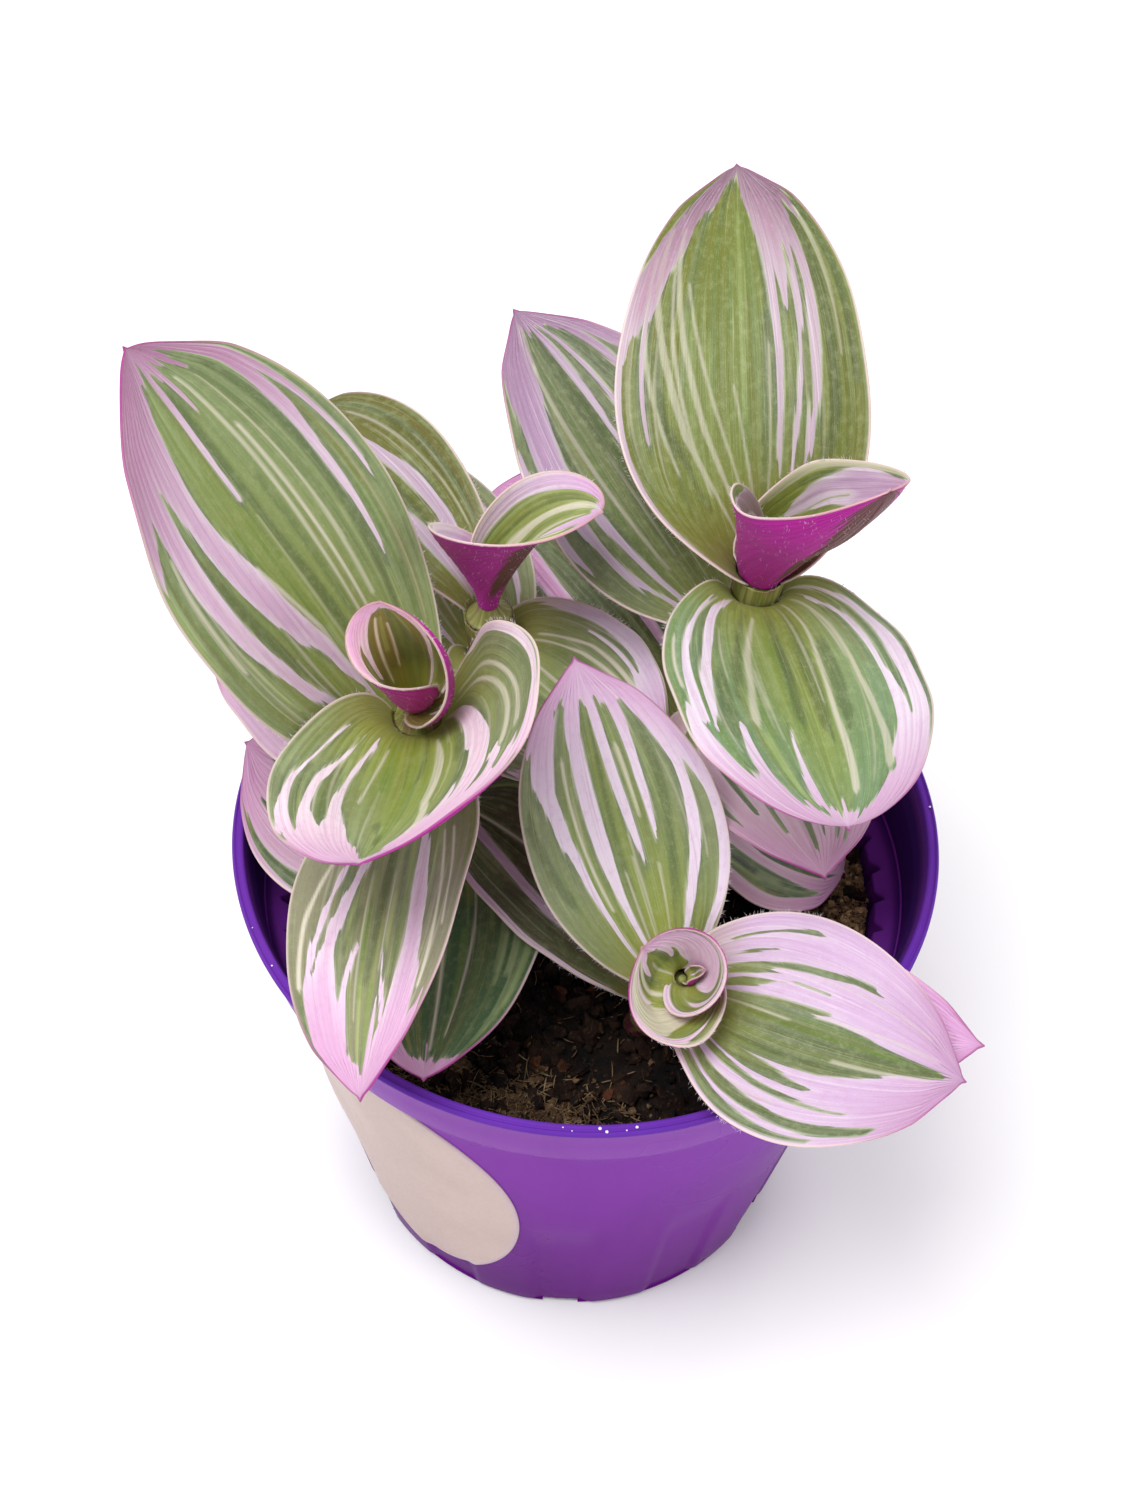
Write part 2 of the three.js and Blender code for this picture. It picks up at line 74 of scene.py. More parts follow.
# The label's middle by compass angle and height. Its film's face is LABEL_GAP + LABEL_THICKNESS off
# the wall and its back is LABEL_GAP - LABEL_INSET off it, which is just inside the wall.
LABEL_ANGLE, LABEL_HEIGHT = 235, 34
LABEL_HALF_WIDTH, LABEL_HALF_HEIGHT = 16.5, 28
LABEL_THICKNESS = 0.14
LABEL_GAP = 0.08
LABEL_INSET = 0.12

# Dried drops on the lip: compass angle, distance inward from its edge, and size.
SPECKS = [(274.6, 0.9, 0.22), (275.6, 0.45, 0.20), (280.2, 0.8, 0.20), (269.0, 0.9, 0.10),
          (270.4, 0.5, 0.09), (278.6, 0.5, 0.11), (7.5, 0.6, 0.16), (213.0, 0.7, 0.13),
          (205.0, 0.6, 0.08)]

# Where pale crumbs and fibres crowd by the rim: compass angle and spread in degrees. The pale
# crumbs are partly the soil's own paler crumbs and partly painted light where the soil by the rim
# is lit.
PALE_ARCS = [(243, 10), (254, 9), (265, 9), (4, 8), (9, 10)]
SOIL_LEVEL = 58
SOIL_GAP = 0.4
SOIL_BUMP = 0.8

STEM_BASE_RADIUS = 2.5
STEM_TIP_RADIUS = 1.2
# About the length of a stem, which turns its 0 to 1 into mm.
STEM_LENGTH = 50
NODE_SWELL, NODE_SPREAD = 0.22, 1.6

BLADE_THICKNESS = 0.5
MARGIN_THICKNESS = 0.2
SHEATH_RADIUS = 3.05
CROWN_SHEATH_RADIUS = 2.6
# A young leaf's neck: its radius, how far it starts below the node, and where along it this ends.
NECK = (1.3, 0, 0.3)
SHEATH_WALL = 0.35
SHEATH_LONGEST = 6
# A sheath that starts this near to the node below is as wide at its foot as that node's sheath.
SHEATH_JOIN = 6.5
# A blade leaves its sheath at this slope, and turns to its own within this part of its length.
SHEATH_START_RISE = 84
SHEATH_TURN = 0.05
# The outline starts this far along its curve, so that it is not closed at the base.
BASE_OFFSET = 0.03
# How far a blade's halves are folded up along the midrib, in degrees.
FOLD = 6
SPINE_STEPS = 200
COLUMN_STEP = 0.2
ROW_STEP = 0.42
MARGIN_HAIRS, BACK_HAIRS, MOUTH_HAIRS = 90, 320, 40
HAIR_RADIUS = 0.028
# A fine point of TIP_POINT mm goes on past the tip, and the outline narrows towards it by POINT.
TIP_POINT = 0.5
POINT = 0.20

# heading: compass angle of the blade from +X; rise: its slope at base and tip; swing: its turn
# sideways; tilt: its turn about the midrib; cup: half angle of its bend across, left and right,
# each at base and tip; roll: radius at the tip of a young leaf's left and right scroll;
# shape: exponents of the outline at base and tip; skew: extra width of the left half;
# node: height on the stem; sheath: least length. unroll, neck and point are optional.
LEAF_KEYS = ("node", "heading", "swing", "rise", "tilt", "length", "width", "shape", "skew",
             "sheath")


def leaf_row(*values, **more):
    """A leaf's sizes by name."""
    return dict(zip(LEAF_KEYS, values), **more)


SHOOTS = {
    "left": dict(
        path=[(-15, 3, 50), (-20, 0, 77), (-21, -2.4, 99)],
        leaves=[
            leaf_row(98.8, 91, -25, (92, 116), 10, 26, 28.5, (0.58, 0.86), 0.02, 1,
                     roll=(4.4, 7.8), unroll=(0.83, 0.72)),
            leaf_row(95.7, -81, -24, (30, 41), 25, 40, 40, (0.59, 0.73), 0.19, 1,
                     cup=((80, 2), (84, -9)), point=0.06),
            leaf_row(88.7, 149, 1, (60, 62), 3, 62, 35, (0.68, 0.64), -0.01, 1,
                     cup=((2, 11), (9, 8))),
            leaf_row(85.3, -96, 5, (17, -4), 25, 47, 25.5, (0.56, 0.71), -0.02, 3,
                     cup=((8, 14), (7, 7))),
            leaf_row(80, 148, -2, (27, -5), 11, 33, 25.5, (0.5, 0.82), -0.05, 4,
                     cup=((12, 8), (10, 6))),
            leaf_row(73.5, 165, -8, (18, 0), -7, 24.5, 30.5, (0.5, 0.76), 0.16, 3,
                     cup=((4, 1), (6, 2))),
            leaf_row(67.5, -87, -2, (18, 9), -2, 38, 27.5, (0.53, 0.7), 0.01, 4,
                     cup=((10, 4), (11, 4)), point=0.03),
        ],
    ),
    "back": dict(
        path=[(-9, 14, 50), (-12.5, 16, 75), (-13.8, 16, 98.5)],
        leaves=[
            leaf_row(98, -10, -18, (84, 32), -6.4, 25.2, 25, (0.42, 0.62), -0.26, 1,
                     roll=(8.5, 24.5), unroll=(1.57, 1.8), neck=(1.1, 1, 0.4), point=0),
            leaf_row(94.5, 128, 1, (22, -28), -12, 45.5, 19.5, (0.72, 0.64), 0.03, 2,
                     cup=((24, 10), (20, 16))),
            leaf_row(88.5, -47, 9, (3, -13), -1, 26.5, 28.5, (0.41, 0.65), -0.06, 2,
                     cup=((0, -4), (2, -7))),
            leaf_row(84, 122, 3, (25, 6), 0, 38, 24, (0.5, 0.78), 0, 4, cup=((12, 6), (12, 6))),
            leaf_row(78, 160, 0, (18, 6), 0, 36, 23, (0.5, 0.78), 0, 5, cup=((10, 5), (10, 5))),
            leaf_row(69, 78, 0, (24, 8), 0, 40, 25, (0.5, 0.78), 0, 5, cup=((10, 5), (10, 5))),
        ],
    ),
    "right": dict(
        path=[(11, 12, 50), (17, 14, 78), (19.4, 13.5, 111.7)],
        leaves=[
            leaf_row(111.2, -43, -17, (45, 77), 4, 27.2, 29, (0.19, 0.56), -0.15, 1,
                     roll=(9.2, 15), unroll=(0.46, 0.84), neck=(2.4, 3.4, 0.3), point=0),
            leaf_row(107.8, 101, -4, (54, 3), -13, 51, 31, (0.41, 0.71), 0.11, 1,
                     cup=((8, 7), (35, 6))),
            leaf_row(104.2, -76, 2, (19, -12), -5, 36.5, 32, (0.53, 0.55), -0.06, 1,
                     cup=((3, -11), (9, -11)), point=0.04),
            leaf_row(95, 130, 2, (23, 9), -11, 50, 30, (0.49, 0.76), 0.04, 6,
                     cup=((9, 6), (15, 9))),
            leaf_row(80, -70, -1, (30, 2), 1, 32, 27.5, (0.5, 0.77), 0.03, 3,
                     cup=((4, -1), (3, -1))),
            leaf_row(73.6, 127, 9, (27, -21), -24, 48.5, 26, (0.54, 0.63), -0.22, 1.2,
                     cup=((16, 9), (16, 18))),
            leaf_row(70, 87, 0, (24, 5), 0, 42, 23, (0.5, 0.78), 0, 1.5, cup=((10, 5), (10, 5))),
            leaf_row(66, -29, 15, (16, -33), 0, 21, 28, (0.58, 0.6), -0.12, 3,
                     cup=((5, 0), (5, 0))),
        ],
    ),
    "front": dict(
        path=[(7, -16, 50), (10, -23, 66), (12.4, -27.3, 81.2)],
        leaves=[
            leaf_row(81.2, 174, 0, (65, 55), -28, 7.5, 33, (0.48, 0.81), -0.1, 1, roll=(9.3, 6.1),
                     unroll=(0.64, 0.83)),
            leaf_row(78.8, -19, 7, (25, -1), 4, 33, 28, (0.5, 0.75), -0.1, 0.8,
                     cup=((10, 4), (9, 3))),
            leaf_row(75.4, 122, -7, (24, 21), -11, 39.5, 24.5, (0.69, 0.77), -0.01, 1,
                     cup=((18, 4), (15, 7))),
            leaf_row(72.3, -8, 5, (31.5, 6), -3, 36, 22.5, (0.5, 0.79), -0.06, 2,
                     cup=((8, 4), (8, 4))),
            leaf_row(68, 135, 16, (15, -18), -1, 34.5, 20.5, (0.74, 0.6), -0.09, 4,
                     cup=((19, 6), (15, 8))),
        ],
    ),
}

# --- Markings ----------------------------------------------------------------------------------
# A blade is mapped by u, from 1 at its left margin to -1 at its right, and s, from 0 at its base
# to 1 at its tip. A stroke is a kind and the points (s, u, half width) that it runs through.
# Kinds: P lilac-pink, W cream-white, G green over pink, D dark green within green.
# tip: where the pale tip starts; rag: how far its edge runs in and out along the veins.

# shade: a factor on all of a leaf's top colours that paints light and shade into them; above 1 it
# lightens the leaf, below 1 it darkens it.
MARKS = {
    "left_leaf_3": dict(
        green=(0.50, 0.56, 0.38), shade=0.97, tip_pink=(0.56, 0.30, 0.46), tip=0.94, rag=0.025,
        lime=0.75, lines=9,
        strokes="""
P .1,.33,.02 .3,.53,.06 .5,.64,.075 .7,.7,.08 .88,.8,.14 1,.8,.3
P .12,0,.02 .3,.13,.07 .5,.3,.11 .72,.42,.12 .9,.45,.2 1,.45,.3
P .79,.6,.02 .9,.58,.2 1,.5,.5
P .68,.95,.02 .8,.9,.1 1,.8,.3
W .42,.8,.012 .68,.79,.016
W .14,.05,.008 .33,.05,.014 .52,.19,.014
P .35,-.7,.015 .6,-.72,.03 .85,-.8,.06 1,-.8,.1
P .66,-.03,.012 .9,-.03,.035 1,-.02,.06
P .84,-.22,.01 1,-.2,.06
W .15,-.3,.01 .55,-.3,.012 .9,-.31,.014
W .2,-.37,.01 .75,-.38,.014
W .3,-.47,.012 .6,-.47,.012
P .5,-.9,.012 .85,-.88,.035 1,-.9,.1
D .2,.38,.03 .5,.5,.05 .8,.66,.03
D .1,-.12,.04 .9,-.1,.04
D .2,-.6,.03 .9,-.66,.04
"""),
    "right_leaf_2": dict(
        green=(0.50, 0.52, 0.16), cream=(0.90, 0.88, 0.78), pink=(0.84, 0.68, 0.76), shade=0.60,
        tip_pink=(0.44, 0.24, 0.36), tip=0.985, rag=0.01, lime=1.0, lines=6,
        strokes="""
P .22,-.19,.014 .5,-.22,.032 .72,-.22,.06 .86,-.2,.1 1,-.15,.3
P .58,-.34,.02 .72,-.36,.08 .84,-.36,.17 .92,-.38,.3 1,-.4,.5
P .12,-.26,.01 .45,-.42,.022 .72,-.5,.036 .9,-.5,.12
P .1,-.34,.014 .4,-.53,.035 .66,-.62,.055 .8,-.62,.07 .95,-.65,.3
W .45,-.79,.01 .83,-.83,.022
P .8,-.8,.02 .9,-.8,.1 1,-.75,.3
P .5,.94,.04 .66,.86,.12 .82,.72,.15 .92,.55,.22 1,.5,.45
P .78,.74,.02 .9,.66,.14 1,.6,.3
P .3,.8,.01 .62,.84,.03
W .05,.24,.012 .28,.53,.022 .6,.76,.024 .8,.84,.024
W .08,.17,.012 .3,.39,.02 .52,.54,.022 .8,.7,.022
W .1,.1,.008 .35,.3,.01 .65,.52,.012
W .08,.03,.006 .4,.16,.008
W .2,.62,.012 .5,.8,.018 .72,.88,.012
W .15,.4,.008 .5,.6,.014 .7,.68,.01
W .15,-.08,.006 .5,-.14,.01
P .03,.97,.03 .25,.985,.025 .5,.99,.02
D .55,.62,.02 .82,.66,.05
D .12,.45,.03 .3,.66,.03 .5,.72,.02
D .1,-.05,.03 .6,-.1,.03
D .1,-.48,.04 .3,-.68,.06 .8,-.74,.05
D .4,-.9,.03 .85,-.9,.03
"""),
    "front_leaf_3": dict(
        tip=0.865, rag=0.035, lime=0.8, lines=7, pink=(0.87, 0.79, 0.88),
        strokes="""
P .02,.42,.02 .22,.46,.035 .42,.54,.05 .62,.69,.08 .85,.78,.2
P .04,.16,.02 .2,.21,.035 .42,.24,.07 .75,.29,.09 .95,.3,.2
W .25,.38,.01 .72,.48,.015
P .33,-.12,.012 .6,-.08,.05 .9,-.09,.1
W .5,-.21,.01 .72,-.21,.03
P .42,-.31,.02 .62,-.34,.05 .82,-.43,.09 .95,-.4,.2
P .06,-.45,.02 .22,-.56,.045 .42,-.69,.05 .65,-.77,.07 .9,-.8,.2
P .03,-.82,.06 .2,-.93,.07 .5,-.98,.08 .66,-.95,.12 1,-.9,.3
P .8,.95,.04 .86,.9,.15 1,.8,.4
W .1,-.02,.008 .38,-.03,.01
W .08,-.22,.008 .34,-.27,.01
D .05,.1,.03 .4,.1,.03 .8,.02,.03
D .1,-.33,.04 .4,-.44,.04 .78,-.58,.04
D .3,.75,.05 .6,.9,.05
"""),
    "right_leaf_3": dict(
        shade=0.82, green=(0.45, 0.56, 0.40), tip=0.955, rag=0.03, lime=0.9, lines=8,
        pink=(0.89, 0.82, 0.89),
        strokes="""
P .03,.74,.03 .15,.85,.05 .4,.85,.065 .62,.88,.075 .78,.84,.14 1,.8,.35
P .04,.56,.02 .15,.67,.028 .4,.67,.03 .62,.73,.05 .75,.74,.1
W .05,.42,.018 .2,.47,.024 .45,.47,.026 .62,.52,.026 .8,.6,.04
W .06,.22,.01 .2,.23,.014 .35,.2,.016 .6,.19,.022 .88,.23,.045
W .16,-.22,.012 .35,-.34,.026 .5,-.4,.03 .62,-.47,.04
P .7,-.22,.012 .8,-.26,.04 .92,-.3,.07
P .64,-.58,.02 .8,-.64,.06 .92,-.72,.14 1,-.7,.4
P .04,-.5,.03 .12,-.61,.05 .3,-.64,.045 .5,-.74,.035 .62,-.79,.03
P .1,-.77,.024 .3,-.83,.022 .6,-.86,.05
W .08,-.7,.008 .18,-.77,.01
P .58,-.94,.03 .8,-.92,.12 1,-.9,.3
W .3,-.93,.01 .5,-.92,.012
D .08,.12,.05 .4,.09,.05 .66,.07,.04
D .1,.97,.03 .7,.97,.03
D .3,.27,.05 .62,.27,.06
D .45,-.6,.04 .64,-.66,.06
D .1,-.05,.03 .6,-.12,.04
D .1,-.3,.03 .5,-.5,.04
"""),
    "front_leaf_2": dict(
        green=(0.38, 0.42, 0.26), shade=0.82, ground="pink", lime=0.4, lines=0,
        pink=(0.84, 0.71, 0.85),
        strokes="""
G .02,.3,.05 .15,.38,.06 .3,.47,.045 .45,.53,.04 .62,.6,.025
G .04,.14,.05 .12,.2,.05 .29,.3,.025
G .02,.04,.04 .2,.08,.05 .34,.11,.05 .51,.16,.02
G 0,-.12,.18 .25,-.13,.22 .45,-.11,.22 .65,-.09,.18 .92,-.09,.11
G .05,-.32,.08 .3,-.31,.07 .55,-.31,.07 .7,-.28,.03
G .03,-.4,.06 .2,-.42,.06 .38,-.46,.05 .51,-.5,.03
G .03,-.52,.04 .2,-.56,.045 .38,-.62,.03 .65,-.69,.015
G .02,-.64,.05 .2,-.73,.06 .38,-.79,.06 .58,-.86,.05 .75,-.9,.04
G .02,-.84,.05 .2,-.9,.05 .45,-.95,.03 .6,-.96,.02
G .06,.74,.02 .33,.84,.018
G .05,.55,.012 .25,.62,.012
G .3,.34,.01 .44,.34,.012
W .1,0,.008 .35,0,.01
W .55,-.22,.016 .9,-.22,.02
W .15,-.66,.012 .4,-.71,.014
W .45,.1,.01 .9,.2,.02
W .4,.45,.01 .85,.5,.02
D .1,-.12,.04 .9,-.1,.05
D .05,.24,.03 .27,.3,.02
D .2,-.3,.03 .6,-.3,.03
"""),
    "left_leaf_2": dict(
        tip=0.97, rag=0.01, lime=1.0, lines=8, pink=(0.91, 0.80, 0.86),
        strokes="""
P .04,.4,.04 .2,.42,.07 .4,.44,.085 .55,.47,.1 .75,.58,.18 .92,.75,.5
G .44,.37,.02 .6,.4,.025 .72,.44,.012
G .52,.56,.018 .68,.62,.022 .78,.66,.01
W .05,.62,.014 .3,.66,.018 .62,.7,.02
W .05,.74,.01 .3,.76,.014 .6,.8,.02
P .7,.85,.02 .8,.8,.2 1,.8,.5
P .1,.97,.03 .5,.97,.03 .7,.95,.08
W .2,.15,.012 .4,.18,.022 .65,.2,.026 .88,.36,.04
D .2,.3,.02 .46,.31,.025
P .12,-.38,.012 .35,-.47,.028 .55,-.51,.045 .68,-.54,.1 .8,-.6,.22 1,-.6,.4
P .12,-.55,.01 .35,-.67,.022 .55,-.71,.035 .7,-.75,.08 .85,-.8,.2
P .12,-.73,.01 .35,-.85,.018 .55,-.88,.03 .7,-.9,.08
P .6,-.66,.02 .7,-.7,.14 .8,-.75,.25 1,-.7,.4
W .15,-.26,.008 .5,-.34,.012
D .7,-.15,.03 .88,0,.05
D .15,.08,.02 .4,.05,.02
D .25,-.57,.03 .6,-.62,.03
D .3,-.78,.02 .6,-.8,.025
"""),
    "left_leaf_4": dict(
        green=(0.51, 0.50, 0.40), shade=1.16, tip=0.93, rag=0.02, lime=0.3, lines=8,
        strokes="""
P .1,.2,.03 .3,.33,.06 .48,.4,.11 .65,.48,.14 .82,.52,.24 1,.5,.5
P .25,-.24,.03 .46,-.42,.06 .62,-.58,.09 .74,-.64,.17 .88,-.66,.28 1,-.6,.5
P .25,-.42,.015 .48,-.62,.03 .66,-.78,.045 .85,-.8,.15
W .2,-.55,.014 .5,-.82,.022 .7,-.9,.022
P .56,-.24,.015 .72,-.36,.035 .88,-.45,.1
P .74,.1,.012 .9,.08,.05 1,0,.1
P .6,.05,.008 .84,.22,.03
W .3,.6,.014 .75,.76,.02
W .3,.7,.01 .6,.84,.012
P .8,.9,.06 1,.8,.4
D .3,-.05,.04 .7,-.1,.04
D .3,.14,.03 .75,.24,.03
D .46,-.28,.02 .6,-.38,.025
"""),
    "right_leaf_4": dict(
        shade=0.62, tip_pink=(0.64, 0.46, 0.60), tip=0.93, rag=0.03, lime=0.45, lines=6,
        pink=(0.80, 0.66, 0.80),
        strokes="""
P .35,.74,.02 .5,.72,.1 .65,.7,.17 .95,.7,.4
P .05,.5,.02 .2,.66,.035 .42,.73,.04 .55,.75,.08
P .05,.38,.02 .2,.47,.035 .42,.57,.04 .55,.64,.05
W .2,.31,.012 .5,.36,.02 .8,.4,.024 .95,.4,.1
P .3,-.02,.014 .6,-.03,.03 .9,-.1,.06 1,-.1,.1
P .5,-.22,.014 .9,-.3,.04 1,-.3,.1
P .55,-.52,.014 .8,-.62,.05 .95,-.65,.1
P .6,-.88,.06 1,-.85,.2
P .3,.95,.03 .6,.97,.05
D .1,.12,.08 .9,.1,.07
D .5,-.42,.06 .85,-.45,.07
D .3,.5,.02 .7,.54,.03
"""),
    "back_leaf_2": dict(
        shade=0.62, green=(0.46, 0.44, 0.16), tip=0.985, rag=0.01, lime=0.45, lines=4,
        strokes="""
P .05,-.15,.05 .25,-.33,.11 .42,-.3,.11 .58,-.22,.08 .75,-.16,.05 .9,-.12,.02
P .03,.05,.1 .2,.1,.14 .35,.12,.05
W .2,-.62,.01 .8,-.55,.016
P .2,.55,.02 .9,.5,.06
D .1,-.05,.05 .6,-.02,.06 .9,0,.04
D .1,-.8,.04 .9,-.7,.04
"""),
    "back_leaf_3": dict(
        tip=0.90, rag=0.03, lime=0.35, lines=10, pink=(0.84, 0.76, 0.85),
        strokes="""
P .05,.9,.06 .3,.92,.08 .55,.9,.12 .8,.75,.2
W .08,.48,.016 .3,.61,.02 .66,.62,.026
W .08,.4,.012 .3,.5,.016 .6,.53,.02
P .25,.72,.012 .5,.72,.02 .75,.68,.08
W .05,.12,.012 .4,.1,.016 .6,.12,.02
W .05,0,.01 .4,-.05,.014
P .6,.38,.01 .85,.38,.06
P .1,-.42,.02 .5,-.5,.05 .9,-.45,.2
W .1,-.7,.01 .5,-.75,.02
P .6,-.9,.05 .9,-.8,.3
D .1,.3,.07 .6,.36,.05
D .1,-.2,.06 .7,-.2,.06
D .3,.8,.03 .8,.8,.03
"""),
    "left_leaf_1": dict(
        vivid=0.3, shade=1.9, tip=0.93, rag=0.02, lime=0.0, lines=2, pink=(0.86, 0.70, 0.80),
        green=(0.46, 0.42, 0.20),
        strokes="""
P .15,.62,.03 .4,.7,.09 .65,.8,.2 1,.8,.6
P .35,.4,.015 .6,.44,.05 .85,.5,.12 1,.5,.3
W .2,.26,.01 .8,.28,.02
W .25,.13,.008 .7,.12,.012
P .1,-.19,.015 .4,-.2,.02 .65,-.26,.04 .9,-.4,.15
P .1,-.4,.012 .45,-.46,.03 .7,-.5,.06 .9,-.6,.3
P .1,-.66,.015 .5,-.7,.04 .8,-.75,.15
W .3,.98,.03 .9,.98,.04
W .3,-.98,.03 .9,-.98,.04
D 0,0,.1 .5,0,.1 .88,.02,.08
D .1,.36,.03 .6,.5,.04
D .1,-.3,.03 .7,-.32,.04
D .1,-.56,.03 .6,-.58,.04
"""),
    "back_leaf_1": dict(
        vivid=0.20, tip=0.95, rag=0.01, lime=0.5, lines=3, pink=(0.83, 0.71, 0.84),
        green=(0.55, 0.58, 0.30),
        strokes="""
P .1,.85,.1 .5,.86,.12 1,.85,.2
W .05,.32,.03 .3,.36,.06 .7,.36,.07 1,.36,.1
W .2,.08,.02 .6,.05,.03 .9,0,.05
P .05,-.3,.06 .5,-.32,.1 1,-.35,.25
P 0,-.95,.3 .26,-.92,.26 .42,-.85,.1
W .2,-.62,.04 .9,-.65,.06
W .2,-.96,.04 1,-.96,.06
W .2,.98,.03 1,.98,.04
D .1,.55,.03 .9,.52,.02
D .1,.22,.03 .8,.2,.03
"""),
    "right_leaf_1": dict(
        vivid=0.34, shade=1.0, tip=0.97, rag=0.01, lime=0.5, lines=3, pink=(0.74, 0.60, 0.74),
        green=(0.52, 0.55, 0.27),
        strokes="""
W .1,.4,.015 .6,.42,.02 .9,.42,.02
W .1,.93,.01 .6,.94,.012 .9,.94,.012
W .1,.96,.04 1,.97,.05
P 0,-.95,.3 .14,-.9,.3 .26,-.8,.1
P .1,.66,.03 .22,.68,.13 .5,.7,.19 .8,.68,.22 1,.6,.4
G .1,.6,.012 .4,.62,.012
P .3,-.86,.06 .6,-.84,.12 1,-.8,.3
D .1,.22,.02 .7,.25,.03
D .2,.85,.03 .9,.88,.03
D .2,-.64,.02 .45,-.7,.02
"""),
    "front_leaf_1": dict(
        tip=0.92, rag=0.01, lime=0.6, lines=2, pink=(0.88, 0.74, 0.84), green=(0.47, 0.50, 0.22),
        strokes="""
W 0,.5,.1 .3,.52,.16 .6,.56,.2 1,.6,.4
W 0,.25,.02 .6,.22,.03 1,.2,.05
P .6,.85,.1 1,.85,.3
W .05,.98,.04 .8,.98,.05
P 0,-.4,.2 .4,-.4,.22 .8,-.4,.28 1,-.4,.5
P .45,.12,.015 .75,.12,.04 1,.1,.2
P .4,-.1,.015 .75,-.12,.035
P .35,.34,.015 .8,.34,.05
W .05,0,.01 .5,.02,.014
P .2,-.75,.03 .8,-.8,.06
P .05,-.97,.05 .9,-.97,.06
D .05,-.1,.05 .75,-.08,.05
D .1,.14,.03 .7,.12,.04
"""),
    "left_leaf_7": dict(
        shade=1.25, tip=0.94, rag=0.01, lime=0.0, lines=5, green=(0.24, 0.35, 0.22),
        strokes="""
W .1,.06,.01 .5,.08,.012 .9,.08,.014
W .2,.36,.008 .85,.3,.012
P .62,-.97,.03 .8,-.88,.1 .92,-.7,.3 1,-.5,.6
P .84,0,.02 .96,0,.05
W .2,-.3,.008 .8,-.36,.01
D .1,.5,.12 .9,.4,.1
D .1,-.2,.08 .9,-.15,.08
"""),
    "front_leaf_4": dict(
        ground="pink", lime=0.2, lines=0, pink=(0.88, 0.68, 0.87),
        strokes="""
G 0,0,.16 .3,-.02,.14 .55,-.02,.04
G 0,-.4,.08 .4,-.5,.05 .6,-.5,.02
G 0,.45,.07 .3,.5,.04 .45,.5,.02
W .3,.2,.02 .9,.15,.03
"""),
    "front_leaf_5": dict(
        tip=0.95, rag=0.02, lime=0.0, lines=5, green=(0.34, 0.33, 0.23),
        strokes="""
P .25,.48,.02 .5,.45,.06 .75,.32,.08 1,.15,.15
W .3,-.1,.012 .9,-.05,.02
P .1,.95,.03 .9,.95,.05
D .1,.1,.1 .8,.05,.1
D .1,.75,.06 .8,.7,.08
"""),
    "right_leaf_5": dict(
        ground="pink", lime=0.1, lines=0, pink=(0.80, 0.66, 0.73), green=(0.38, 0.42, 0.30),
        strokes="""
G 0,.62,.05 .4,.68,.05 .88,.66,.03
G 0,.4,.06 .5,.48,.06 .85,.5,.025
G 0,.24,.05 .5,.28,.05 .8,.27,.02
G 0,.08,.05 .5,.1,.06 .87,.12,.04
G 0,-.14,.04 .5,-.2,.04 .76,-.27,.035
G 0,-.36,.05 .4,-.4,.05 .66,-.42,.03
G 0,-.58,.08 .4,-.66,.08 .72,-.8,.03
G 0,.86,.05 .5,.9,.05
"""),
    "left_leaf_6": dict(
        shade=1.0, ground="pink", lime=0.1, lines=0, pink=(0.72, 0.58, 0.66),
        green=(0.30, 0.36, 0.25),
        strokes="""
G 0,.88,.08 .4,.92,.07 .8,.88,.03
G 0,.55,.07 .4,.6,.07 .75,.58,.03
G 0,.1,.1 .5,.1,.08 .85,.1,.03
G 0,-.3,.08 .5,-.3,.07 .8,-.3,.02
G 0,-.7,.08 .5,-.7,.08 .8,-.7,.03
"""),
    "left_leaf_5": dict(
        ground="pink", lime=0.2, lines=0, pink=(0.83, 0.70, 0.80),
        strokes="""
G 0,.45,.1 .5,.5,.1 .85,.45,.03
G 0,0,.12 .5,.02,.12 .9,0,.03
G 0,-.5,.1 .5,-.5,.1 .8,-.5,.03
W .2,.25,.02 .9,.22,.04
"""),
    "right_leaf_8": dict(
        ground="pink", lime=0.0, lines=0, pink=(0.76, 0.60, 0.68), green=(0.28, 0.33, 0.26),
        strokes="""
G 0,.35,.07 .5,.3,.05 .75,.35,.03
G 0,.1,.06 .35,.05,.05 .55,.1,.02
G 0,-.25,.08 .6,-.35,.1 .9,-.4,.05
G 0,-.65,.12 .6,-.7,.12 .85,-.7,.04
G .3,.68,.03 .85,.62,.05
"""),
    "right_leaf_6": dict(
        tip=0.90, rag=0.04, lime=0.1, lines=4, pink=(0.84, 0.55, 0.78), green=(0.32, 0.36, 0.20),
        strokes="""
P .1,.6,.04 .6,.6,.12 1,.6,.4
P .2,-.1,.03 .9,-.1,.1
P .2,-.6,.04 .9,-.6,.15
D .1,.3,.1 .8,.25,.1
"""),
}

# Leaves with no markings of their own take these by turns.
PLAIN_MARKS = [
    dict(tip=0.9, rag=0.04, lime=0.3, lines=7, strokes="""
P .1,.4,.03 .5,.48,.07 .9,.5,.2
W .15,.15,.012 .8,.18,.03
P .2,-.35,.02 .6,-.42,.06 .95,-.4,.2
P .1,-.75,.03 .6,-.8,.06 .9,-.8,.2
P .4,.85,.04 .9,.85,.2
D .1,0,.08 .8,0,.08
"""),
    dict(ground="pink", lime=0.2, lines=0, pink=(0.82, 0.70, 0.82), strokes="""
G 0,.05,.14 .5,.02,.14 .88,0,.05
G 0,.45,.09 .5,.5,.07 .74,.55,.02
G 0,.8,.07 .5,.86,.06 .66,.88,.02
G 0,-.42,.09 .5,-.46,.08 .8,-.45,.03
G 0,-.78,.08 .4,-.84,.06 .6,-.86,.02
W .3,.26,.02 .9,.28,.04
"""),
]

BUD_STROKES = """
P .2,.3,.08 .8,.35,.12
P .2,-.5,.08 .8,-.5,.15
"""

